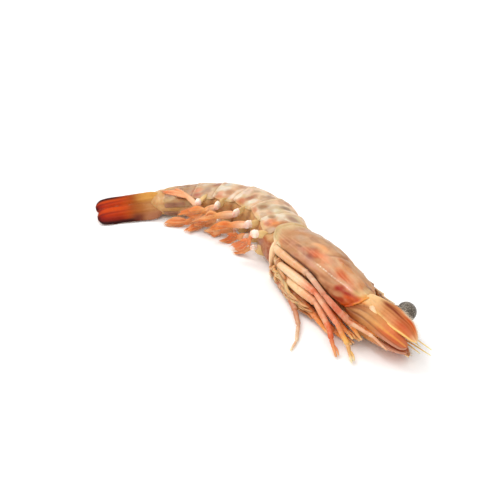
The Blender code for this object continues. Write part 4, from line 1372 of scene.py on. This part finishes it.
LEG_STOPS = {
    "leg_right_5": (
        (0.0, (250, 226, 192)), (0.12, (232, 184, 140)), (0.32, (226, 174, 128)), (0.36, (222, 178, 150)),
        (0.52, (214, 160, 130)), (0.57, (222, 150, 118)), (0.68, (212, 118, 82)), (0.74, (228, 172, 136)),
        (1.0, (232, 184, 148)),
    ),
    "leg_right_4": (
        (0.0, (238, 200, 160)), (0.28, (248, 214, 178)), (0.42, (228, 134, 92)), (0.5, (238, 172, 136)),
        (0.72, (234, 144, 100)), (0.86, YELLOW), (1.0, (245, 226, 181)),
    ),
    "leg_right_3": (
        (0.0, (232, 186, 140)), (0.25, (246, 210, 164)), (0.42, (232, 170, 130)), (0.6, (236, 166, 126)),
        (0.8, (226, 116, 64)), (1.0, (240, 190, 140)),
    ),
    "leg_left_5": (
        (0.0, (196, 128, 88)), (0.4, (200, 134, 98)), (0.7, (214, 168, 136)), (1.0, (245, 226, 190)),
    ),
    "leg_left_4": ((0.0, (206, 146, 104)), (0.6, (222, 150, 108)), (1.0, (238, 168, 112))),
}
OTHER_STOPS = ((0.0, (206, 138, 98)), (0.5, (234, 146, 84)), (0.85, (244, 166, 92)), (1.0, (248, 210, 156)))


def leg_streaks(line, tint):
    """Small uneven bands of deeper and paler colour along a limb."""
    along = np.arange(len(line))
    return paint(
        tint,
        ((196, 100, 62), 0.35 * clouds(50, 0.3, 1.2, 0.22 * along)),
        (CREAM, 0.40 * clouds(51, 0.4, 1.2, 0.30 * along)),
    )


def build_leg(name, stations):
    """A jointed leg with a stout base, and a small pincer where it has one."""
    stations = list(stations)
    root = np.array(stations[0])
    base = root + np.array((-0.8, 2.2, 0.25 * (CHEST_HEIGHT - root[2]), 0.2))
    stops = LEG_STOPS.get(name, OTHER_STOPS)
    points, girth, share = limb_line([base] + stations, swelling=LEG_SWELLING.get(name, (0.2,)))
    lines = [(points, girth, along_stops(share, stops))]
    if name in PINCER_LEGS:
        palm, tip = np.array(stations[-2]), np.array(stations[-1])
        foot = 0.7 * palm + 0.3 * tip
        foot[3] = 0.62 * palm[3]
        far = tip + np.array((0.0, 1.1, 0.2, 0.0))
        far[3] = 0.75 * tip[3]
        bend = 0.5 * (foot + far) + np.array((0.4, 0.5, 0.1, 0.0))
        finger, thin, reach = limb_line([foot, bend, far], cuffs=False)
        lines.append((finger, thin, along_stops(0.8 + 0.2 * reach, stops)))
    streaked = [(line, thin, leg_streaks(line, tint)) for line, thin, tint in lines]
    sweep(name, streaked, LIMB, "legs", name)
    along = np.gradient(points, axis=0)
    side = np.cross(along, (0.0, 0.0, -1.0))
    side /= np.linalg.norm(side, axis=1, keepdims=True) + 1e-9
    hairy = 1.6 if "jaw" in name else 0.6
    for sign in (1, -1):
        rail = points + sign * side * girth[:, None] * 0.8
        lean = sign * side + 0.6 * along / (LINE_STEP * MM)
        add_fringe(rail[::2], lean[::2], hairy, linear(STRAW))


# ---- swimmerets ----

PAIRS = 5
# Front pair first: (s, d, z) of the knob, of the blades' middle and of their end, and the blades' (d, z) way.
SWIMMERETS = {
    "right": (
        ((-5.5, -11.2, 11.9), (-4.0, -14.4, 8.4), (-7.0, -20.6, 6.4), (0.4, 1.0)),
        ((-16.0, -11.4, 11.0), (-30.0, -17.6, 8.2), (-43.0, -20.6, 5.6), (0.3, 1.0)),
        ((-31.2, -10.8, 11.0), (-45.5, -15.6, 8.2), (-58.5, -17.6, 5.6), (0.3, 1.0)),
        ((-45.2, -10.1, 10.6), (-53.5, -13.4, 8.4), (-65.0, -13.8, 7.0), (0.2, 1.0)),
        ((-56.2, -9.2, 10.0), (-64.0, -5.2, 11.6), (-72.5, -0.6, 10.6), (1.0, 0.3)),
    ),
    "left": (
        ((-6.5, -11.4, 5.0), (-8.0, -15.6, 1.9), (-15.0, -19.0, 1.2), (0.7, 0.7)),
        ((-18.5, -11.4, 4.4), (-26.0, -14.2, 1.9), (-33.0, -19.6, 1.2), (0.5, 0.85)),
        ((-31.0, -11.0, 4.0), (-39.0, -15.4, 1.9), (-49.5, -16.4, 1.3), (0.5, 0.85)),
        ((-44.5, -10.4, 3.6), (-53.0, -13.2, 1.9), (-61.0, -17.4, 1.2), (0.5, 0.85)),
        ((-55.5, -9.6, 3.2), (-63.0, -13.2, 1.9), (-73.5, -12.6, 1.3), (0.5, 0.85)),
    ),
}
SWIMMERET_STOPS = {
    "right": (
        ((0.0, (240, 180, 140)), (0.3, (234, 134, 92)), (0.7, (234, 120, 76)), (1.0, (240, 160, 116))),
        ((0.0, PEARL), (0.3, (238, 152, 88)), (0.6, (232, 122, 50)), (1.0, (240, 156, 84))),
        ((0.0, PEARL), (0.3, (246, 184, 124)), (0.6, (238, 148, 80)), (1.0, (222, 104, 36))),
        ((0.0, PEARL), (0.3, (246, 188, 130)), (0.6, (244, 166, 104)), (1.0, (232, 132, 62))),
        ((0.0, PEARL), (0.25, (246, 196, 164)), (0.6, (246, 174, 140)), (1.0, (234, 144, 106))),
    ),
    "left": (
        ((0.0, (232, 184, 140)), (0.3, (232, 148, 96)), (0.7, (220, 116, 62)), (1.0, (234, 160, 104))),
    ) * PAIRS,
}
KNOB_RADII = (1.6, 2.3, 1.9)  # along the body, towards the belly and upwards
FOLD_SKIN = ((0.0, (222, 184, 134)), (0.5, (236, 204, 156)), (1.0, (242, 206, 172)))
SWIMMERET_BLADES = (  # (size, place across the stalk's end, reach)
    (1.0, 0.2, 1.0), (0.8, -0.9, 0.84), (0.8, 1.0, 0.72), (0.6, -0.3, 1.06), (0.6, 0.6, 0.55),
)
STALK_RIB = (0.0, 0.3, 0.15)
HIP_FOLD = (  # (s, d, z, half width, half thickness), from the knob
    (3.4, 3.4, 1.6, 1.2, 0.7), (1.6, 1.6, 0.8, 2.0, 1.0), (-0.4, 0.2, 0.0, 1.2, 0.8),
)
SWIMMERET_RIBS = ((0.1, 0.08, 0.16), (-0.45, 0.06, 0.08), (0.6, 0.06, 0.08))
BLADE_COLUMNS = 40
LOWEST_BLADE = 0.6  # height


def unit_ball(rows, columns, gap):
    """Directions in rings round the z axis, from one pole to the other, with a gap in radians at each."""
    polar = np.linspace(gap, math.pi - gap, rows)[:, None]
    turn = np.linspace(0, 2 * math.pi, columns, endpoint=False)[None]
    ring = np.sin(polar)
    return np.stack((ring * np.cos(turn), ring * np.sin(turn), np.cos(polar) + 0 * turn), -1)


def ball_ripple(seed, places):
    return ripple(seed, *np.moveaxis(places, -1, 0))


def add_knob(knobs, centre, size, seed):
    """The round white joint that a swimmeret hangs from."""
    ball = unit_ball(30, 44, 0.02)[..., [0, 2, 1]]
    dents = 1 + 0.07 * ball_ripple(seed, 2.2 * ball) - 0.10 * bump(ball[..., 1] - 0.15, 0.12)
    reach = centre + ball * np.array(KNOB_RADII) * size * dents[..., None]
    points = place(*np.moveaxis(reach, -1, 0))
    tint = paint(
        linear((252, 230, 212)),
        ((238, 184, 158), 0.7 * ease(ball[..., 1], 0.2, 0.9)),
        ((226, 160, 132), 0.6 * ease(-ball[..., 1], 0.4, 0.95)),
    )
    knobs.closed(points, tint)


def swimmeret_tint(share, across, stops, seed):
    """Orange with pale streaks and a pale edge."""
    tint = along_stops(share, stops)
    return paint(
        tint,
        ((214, 100, 44), 0.35 * clouds(seed, 0.2, 1.2, 3 * share, 6 * across)),
        ((255, 214, 170), 0.75 * clouds(seed + 1, 0.0, 1.0, 3 * share, 7 * across)),
        ((255, 196, 148), 0.24),
        ((250, 200, 152), 0.35 * ease(np.abs(across), 0.72, 0.98)),
    )


def build_swimmeret(number, side, sign, knobs):
    """A flat stalk that hangs from its knob, a fold at its root, and uneven blades fringed with bristles."""
    random = np.random.default_rng(100 + 10 * number + sign)
    knob, middle, end, way = SWIMMERETS[side][number - 1]
    knob, middle, end = np.array(knob), np.array(middle), np.array(end)
    stops = SWIMMERET_STOPS[side][number - 1]
    across_way = np.array((0.0, *way)) / np.hypot(*way)
    shape = Shape()
    add_knob(knobs, knob + np.array((0.0, -0.5, 0.3 * sign)), 1.0 if side == "right" else 0.8, 90 + number)
    hip = knob + np.array((-0.6, -1.4, -0.4))
    knee = 0.45 * hip + 0.55 * middle + np.array((0.0, -0.4, 0.3))
    thigh = 0.6 * hip + 0.4 * knee
    stalk = widened(1.0, (hip, 1.4, 1.0), (thigh, 1.8, 0.9), (knee, 1.6, 0.7), (middle, 1.0, 0.45))
    points, share, across = blade_points(
        stalk, way, 50, 32, camber=0.2, tip=0.2, ribs=(STALK_RIB,), wave=0.15, seed=number, twist=12.0
    )
    shape.closed(points, swimmeret_tint(0.4 * share, across, stops, 80))
    fold = [(*(knob + (s, d, z * sign)), wide, thick) for s, d, z, wide, thick in HIP_FOLD]
    points, share, across = blade_points(fold, way, 30, 28, tip=0.3, ribs=(HOLLOW,), wave=0.2, seed=number)
    shape.closed(points, along_stops(share, FOLD_SKIN))
    for size, offset, reach in SWIMMERET_BLADES:
        stray = random.normal(0, 0.5, 3)
        start = knee + 0.3 * (middle - knee) + 0.4 * offset * across_way
        tip = start + reach * random.uniform(0.9, 1.06) * (end - start) + 1.1 * offset * across_way + stray
        bow = 0.5 * (start + tip) + 0.6 * offset * across_way + random.normal(0, 0.5, 3)
        late = 0.22 * bow + 0.78 * tip + random.normal(0, 0.3, 3)
        width = size * random.uniform(0.85, 1.1)
        rows = ((start, 0.5, 0.4), (bow, 1.35, 0.35), (late, 0.75, 0.2), (tip, 0.08 / width, 0.08))
        blade = [(s, d, max(z, LOWEST_BLADE), wide * width, thick) for (s, d, z), wide, thick in rows]
        points, share, across = blade_points(
            blade, way, 70, BLADE_COLUMNS, camber=0.35 * offset, tip=0.10, ribs=SWIMMERET_RIBS, wave=0.22,
            seed=number, twist=random.uniform(-45, 45)
        )
        shape.closed(points, swimmeret_tint(0.3 + 0.7 * share, across, stops, 82 + number))
        for rail in (0, BLADE_COLUMNS // 2):
            edge_fringe(points, share, rail, 0.15, 1.2, 0.9, paint(linear(stops[-1][1]), (CREAM, 0.4)))
    name = f"swimmeret_{side}_{number}"
    shape.make(name, BLADE, "swimmerets", name)


# ---- eyes, scales and feelers ----


EYE_RADIUS = 3.75 * MM
EYESTALK = ((51.5, 4.2, 2.0, 1.5), (53.5, 4.6, 2.4, 1.35), (57.0, 5.9, 2.9, 1.15), (59.2, 7.0, 3.3, 1.9))
EYESTALK_STOPS = ((0.0, (214, 150, 110)), (0.6, (186, 104, 66)), (1.0, (120, 66, 42)))


def beside_beak(path, sign):
    """Stations on one side of the head, from stations whose z is measured outwards from the beak."""
    return [(s, d, BEAK_HEIGHT + sign * z, *sizes) for s, d, z, *sizes in path]


def build_eye(side, sign):
    """A round eye sunk in a brown cup, on its stalk."""
    centre = place(EYE_PLACE[0] + 0.9, EYE_PLACE[1] - 0.9, BEAK_HEIGHT + sign * (EYE_SPREAD - 0.3))
    ball = unit_ball(72, 110, math.radians(0.5))
    heading = np.interp(EYE_PLACE[0], SPINE_S, SPINE_HEADING)
    back_way = np.array((-0.8 * math.cos(heading), -0.8 * math.sin(heading), -0.35 * sign))
    cup = ease(ball @ back_way, 0.45, 0.8)
    dents = 0.012 * ball_ripple(9, 3 * ball)
    points = centre + ball * EYE_RADIUS * (1 + dents - 0.05 * cup)[..., None]
    tint = paint(
        linear((84, 76, 66)),
        ((168, 112, 74), 0.8 * cup),
        ((140, 128, 112), 0.5 * ease(ball_ripple(10, 2.2 * ball), 0.0, 1.0) * (1 - cup)),
        # painted glints: pale sparkles on the eye, away from its cup
        ((190, 182, 170), 0.4 * ease(ball_ripple(14, 5.0 * ball), 0.8, 1.4) * (1 - cup)),
    )
    shape = Shape()
    shape.closed(points, tint)
    shape.make(f"eye_{side}", EYE, "eyes", f"eye_{side}")
    points, girth, share = limb_line(beside_beak(EYESTALK, sign), cuffs=False)
    name = f"eyestalk_{side}"
    sweep(name, [(points, girth, along_stops(share, EYESTALK_STOPS))], LIMB, "legs", name, sides=20)


SCALE_ROOT = 48.0
SCALE_REACH = {"right": 29.5, "left": 26.5}
SCALE_OUTLINE = (  # (share of the reach, d, z, half width, half thickness)
    (0.0, 1.0, 3.9, 2.4, 1.2), (0.15, 0.9, 4.6, 3.1, 1.2), (0.31, 0.5, 5.0, 3.8, 0.8),
    (0.45, 0.6, 5.0, 4.2, 0.5), (0.61, 0.5, 4.9, 3.9, 0.4), (0.77, 0.3, 4.8, 3.3, 0.3),
    (0.9, -0.5, 4.5, 2.1, 0.24), (1.0, -1.4, 4.2, 1.0, 0.2),
)
SCALE_KNOB = (
    (52.8, -1.6, 4.2, 0.4, 0.4), (54.2, -2.2, 4.8, 1.05, 0.9), (56.2, -2.9, 4.8, 1.0, 0.8),
    (58.2, -3.4, 4.5, 0.65, 0.5), (60.2, -3.6, 4.2, 0.3, 0.3),
)
SCALE_TILT = 0.36
SCALE_RIBS = (
    (-0.90, 0.09, 0.34), (-0.5, 0.07, 0.12), (0.0, 0.05, 0.10), (0.35, 0.05, 0.08), (0.65, 0.04, 0.06),
)
KNOB_STOPS = ((0.0, (240, 200, 160)), (0.4, (255, 220, 192)), (1.0, (252, 212, 148)))
SCALE_STOPS = (
    (0.0, (244, 208, 164)), (0.2, (236, 196, 150)), (0.38, (212, 150, 102)), (0.55, (220, 152, 104)),
    (0.7, (214, 124, 64)), (0.86, (214, 132, 82)), (0.97, (232, 190, 152)), (1.0, (240, 214, 190)),
)


def scale_tint(share, across):
    """Brown, with a dark slanting band, an orange streak and a pale rib along the outer edge."""
    tint = along_stops(share, SCALE_STOPS)
    band = bump(across - 0.74 + 0.56 * share, 0.20)
    band = band * ease(share, 0.18, 0.34) * (1 - ease(share, 0.66, 0.82))
    tint = paint(
        tint,
        ((146, 66, 34), 0.95 * band),
        ((204, 92, 28), 0.7 * bump(share - 0.70 - 0.06 * across, 0.12) * ease(across, -0.7, -0.2)),
        ((186, 116, 70), 0.5 * clouds(31, 0.1, 1.0, 6 * share, 9 * across)),
        ((240, 178, 126), 0.4 * clouds(32, 0.2, 1.0, 4 * share, 11 * across)),
        ((232, 190, 146), 0.8 * ease(-across, 0.45, 0.75) * (1 - ease(share, 0.4, 0.7))),
    )
    rib_reach = 0.12 + 0.10 * (1 - ease(share, 0.3, 0.6))
    return paint(
        tint,
        ((255, 218, 150), 0.98 * bump(across + 0.88, rib_reach)),
        ((236, 214, 192), 0.8 * ease(across, 0.72, 0.98) * ease(share, 0.45, 0.65)),
    )


def build_antennal_scale(side, sign):
    """The leaf that guards the feelers: a stout outer rib with a knob at its root, and a fringed blade."""
    outline = [(SCALE_ROOT + SCALE_REACH[side] * share, *rest) for share, *rest in SCALE_OUTLINE]
    way = (1, sign * SCALE_TILT)
    outline = beside_beak(outline, sign)
    points, share, across = blade_points(
        outline, way, 130, 64, camber=sign * 0.4, tip=0.09, ribs=SCALE_RIBS, wave=0.1, seed=3
    )
    shape = Shape()
    shape.closed(points, scale_tint(share, across))
    edge_fringe(points, share, 0, 0.3, 1.6, 0.8, linear(SCALE_BRISTLE))
    points, share, across = blade_points(beside_beak(SCALE_KNOB, sign), way, 36, 24, tip=0.3)
    shape.closed(points, along_stops(share, KNOB_STOPS))
    name = f"antennal_scale_{side}"
    shape.make(name, BLADE, "shell", name)


ANTENNA_PATH = (  # (s, d, z, half width, half thickness)
    (46.0, -6.0, 1.0, 1.6, 1.4), (50.5, -5.8, 2.2, 3.1, 2.1), (55.0, -5.4, 2.9, 3.4, 2.0),
    (61.0, -5.2, 2.9, 3.2, 1.6), (67.0, -5.0, 2.4, 2.9, 1.1), (71.6, -4.5, 1.8, 2.4, 0.8),
    (75.2, -3.9, 1.2, 1.7, 0.5),
)
ANTENNA_RIBS = ((-0.75, 0.10, 0.26), (-0.3, 0.10, 0.22), (0.15, 0.08, 0.2), (0.6, 0.10, 0.2))
ANTENNA_STOPS = (
    (0.0, (150, 82, 44)), (0.2, (186, 124, 80)), (0.36, (214, 160, 112)), (0.55, (222, 158, 106)),
    (0.7, (230, 148, 104)), (0.85, (214, 128, 88)), (1.0, (206, 138, 106)),
)
ANTENNULE = ((52.5, 0.2, 1.8, 1.9), (58.0, 0.5, 1.8, 1.8), (64.0, 0.8, 1.8, 1.4), (69.5, 1.2, 1.8, 0.9))
WHIPS = (
    ((68.8, 1.5, 1.8, 0.42), (72.0, 1.9, 1.6, 0.34), (81.0, 2.6, 1.3, 0.18)),
    ((68.8, 0.7, 1.8, 0.38), (73.0, 0.5, 1.7, 0.30), (78.0, 0.4, 1.4, 0.16)),
)
ANTENNULE_STOPS = ((0.0, (222, 160, 108)), (0.6, (214, 130, 74)), (1.0, (210, 116, 62)))
WHIP_STOPS = ((0.0, (226, 166, 104)), (0.5, (240, 208, 136)), (1.0, (244, 228, 176)))


def antenna_tint(share, across):
    """Brown, with dark grooves, orange ridges and paler edges."""
    tint = along_stops(share, ANTENNA_STOPS)
    streaks = clouds(41, 0.2, 1.0, 5 * share, 5 * across)
    return paint(
        tint,
        ((124, 72, 38), 0.7 * bump(across + 0.45 + 0.3 * share, 0.10) * (1 - 0.4 * share)),
        ((138, 88, 50), 0.55 * bump(across - 0.15, 0.07) * (1 - ease(share, 0.4, 0.6))),
        ((240, 176, 100), 0.85 * bump(across + 0.05 - 0.5 * (share - 0.7), 0.13) * ease(share, 0.40, 0.55)),
        ((206, 108, 62), 0.6 * bump(across + 0.42 - 0.4 * (share - 0.7), 0.16) * ease(share, 0.5, 0.65)),
        ((226, 176, 126), 0.5 * streaks * (1 - ease(share, 0.5, 0.8))),
        ((214, 166, 146), 0.8 * ease(-across, 0.66, 0.92) * ease(share, 0.5, 0.7)),
    )


def build_feelers(side, sign):
    """The broad stalk of the long feeler, broken off short, and the short feeler with its two whips."""
    points, share, across = blade_points(
        beside_beak(ANTENNA_PATH, sign), (1, sign * 0.35), 120, 56, tip=0.06, ribs=ANTENNA_RIBS, seed=4
    )
    shape = Shape()
    shape.closed(points, antenna_tint(share, across))
    name = f"antenna_{side}"
    shape.make(name, BLADE, "legs", name)
    lines = []
    for path in (ANTENNULE, *WHIPS):
        stout = path is ANTENNULE
        points, girth, share = limb_line(beside_beak(path, sign), cuffs=stout)
        lines.append((points, girth, along_stops(share, ANTENNULE_STOPS if stout else WHIP_STOPS)))
    name = f"antennule_{side}"
    sweep(name, lines, LIMB, "legs", name, sides=14)


def build_bristles():
    """All the bristles that fringe the blades and limbs, as one piece."""
    points, leans, reaches, tints = zip(*FRINGES)
    mesh = line_mesh("bristles", points, lean=leans, reach=reaches, tint=tints)
    piece = FRINGE_TREE.apply("bristles", mesh, Seed=8, Finish=BRISTLE)
    install(piece, "legs")


def build_prawn():
    """Builds every piece of the prawn. The bristles come last, as the other pieces leave rows for them."""
    knobs = Shape()
    build_head_shell()
    build_chest()
    build_face()
    for index in range(1, len(SEGMENT_LENGTHS) + 1):
        build_tail_segment(index)
    build_tail_flesh()
    build_tail_fan()
    build_gill_threads()
    for name, stations in LEGS.items():
        build_leg(name, stations)
    for side, sign in SIDES.items():
        build_eye(side, sign)
        build_antennal_scale(side, sign)
        build_feelers(side, sign)
        for number in range(1, PAIRS + 1):
            build_swimmeret(number, side, sign, knobs)
    knobs.make("swimmeret_knobs", KNOB, "swimmerets")
    build_bristles()


# ---- floor, light and camera ----

CAMERA_AIM = Vector((-0.013881, 0.007602, 0.0))
CAMERA_TURN, CAMERA_RISE = math.radians(38), math.radians(35)
CAMERA_DISTANCE, CAMERA_LENS, SENSOR_WIDTH = 0.414, 72, 36
WORLD_STRENGTH = 0.97
LIGHTS = (  # (name, place, size, power)
    ("key_light", (-0.86, 0.08, 1.20), 0.70, 7.0),
    ("top_light", (0.10, -0.50, 1.20), 0.90, 2.6),
)
FLOOR_REACH, FLOOR_GAP = 3.0, 0.0001


def build_floor():
    """A wide white floor just below the prawn."""
    mesh = bpy.data.meshes.new("floor")
    signs = ((-1, -1), (1, -1), (1, 1), (-1, 1))
    mesh.from_pydata([(x * FLOOR_REACH, y * FLOOR_REACH, -FLOOR_GAP) for x, y in signs], [], [(0, 1, 2, 3)])
    f = Finish("floor", roughness=0.6, coat=0.0, coat_roughness=0.2, subsurface=0.0, depth_mm=1.0)
    grain = f.noise(0.4, 3.0)
    white = f.clouded(linear((255, 255, 254)), grain, 0.3, 0.7, 0.2, (251, 250, 249))
    mesh.materials.append(f.done(white, f.relief(grain, 0.1, 0.02)))
    floor = bpy.data.objects.new("floor", mesh)
    bpy.context.scene.collection.objects.link(floor)


def add_soft_light(name, spot, size, power):
    light = bpy.data.lights.new(name, "AREA")
    light.shape = "DISK"
    light.size = size
    light.energy = power
    lamp = bpy.data.objects.new(name, light)
    lamp.location = spot
    lamp.rotation_euler = (-Vector(spot)).to_track_quat("-Z", "Y").to_euler()
    bpy.context.scene.collection.objects.link(lamp)


def set_stage():
    """White surroundings, soft lights and the camera."""
    scene = bpy.context.scene
    build_floor()
    world = bpy.data.worlds.new("studio")
    world.use_nodes = True
    background = world.node_tree.nodes["Background"]
    background.inputs["Color"].default_value = (1.0, 1.0, 1.0, 1.0)
    background.inputs["Strength"].default_value = WORLD_STRENGTH
    scene.world = world
    for light in LIGHTS:
        add_soft_light(*light)
    scene.view_settings.view_transform = "Standard"
    camera = bpy.data.cameras.new("camera")
    camera.lens = CAMERA_LENS
    camera.sensor_width = SENSOR_WIDTH
    camera.clip_start = 0.01
    stand = bpy.data.objects.new("camera", camera)
    flat = math.cos(CAMERA_RISE)
    away = Vector((math.sin(CAMERA_TURN) * flat, -math.cos(CAMERA_TURN) * flat, math.sin(CAMERA_RISE)))
    stand.location = CAMERA_AIM + CAMERA_DISTANCE * away
    stand.rotation_euler = away.to_track_quat("Z", "Y").to_euler()
    scene.collection.objects.link(stand)
    scene.camera = stand


build_prawn()
set_stage()
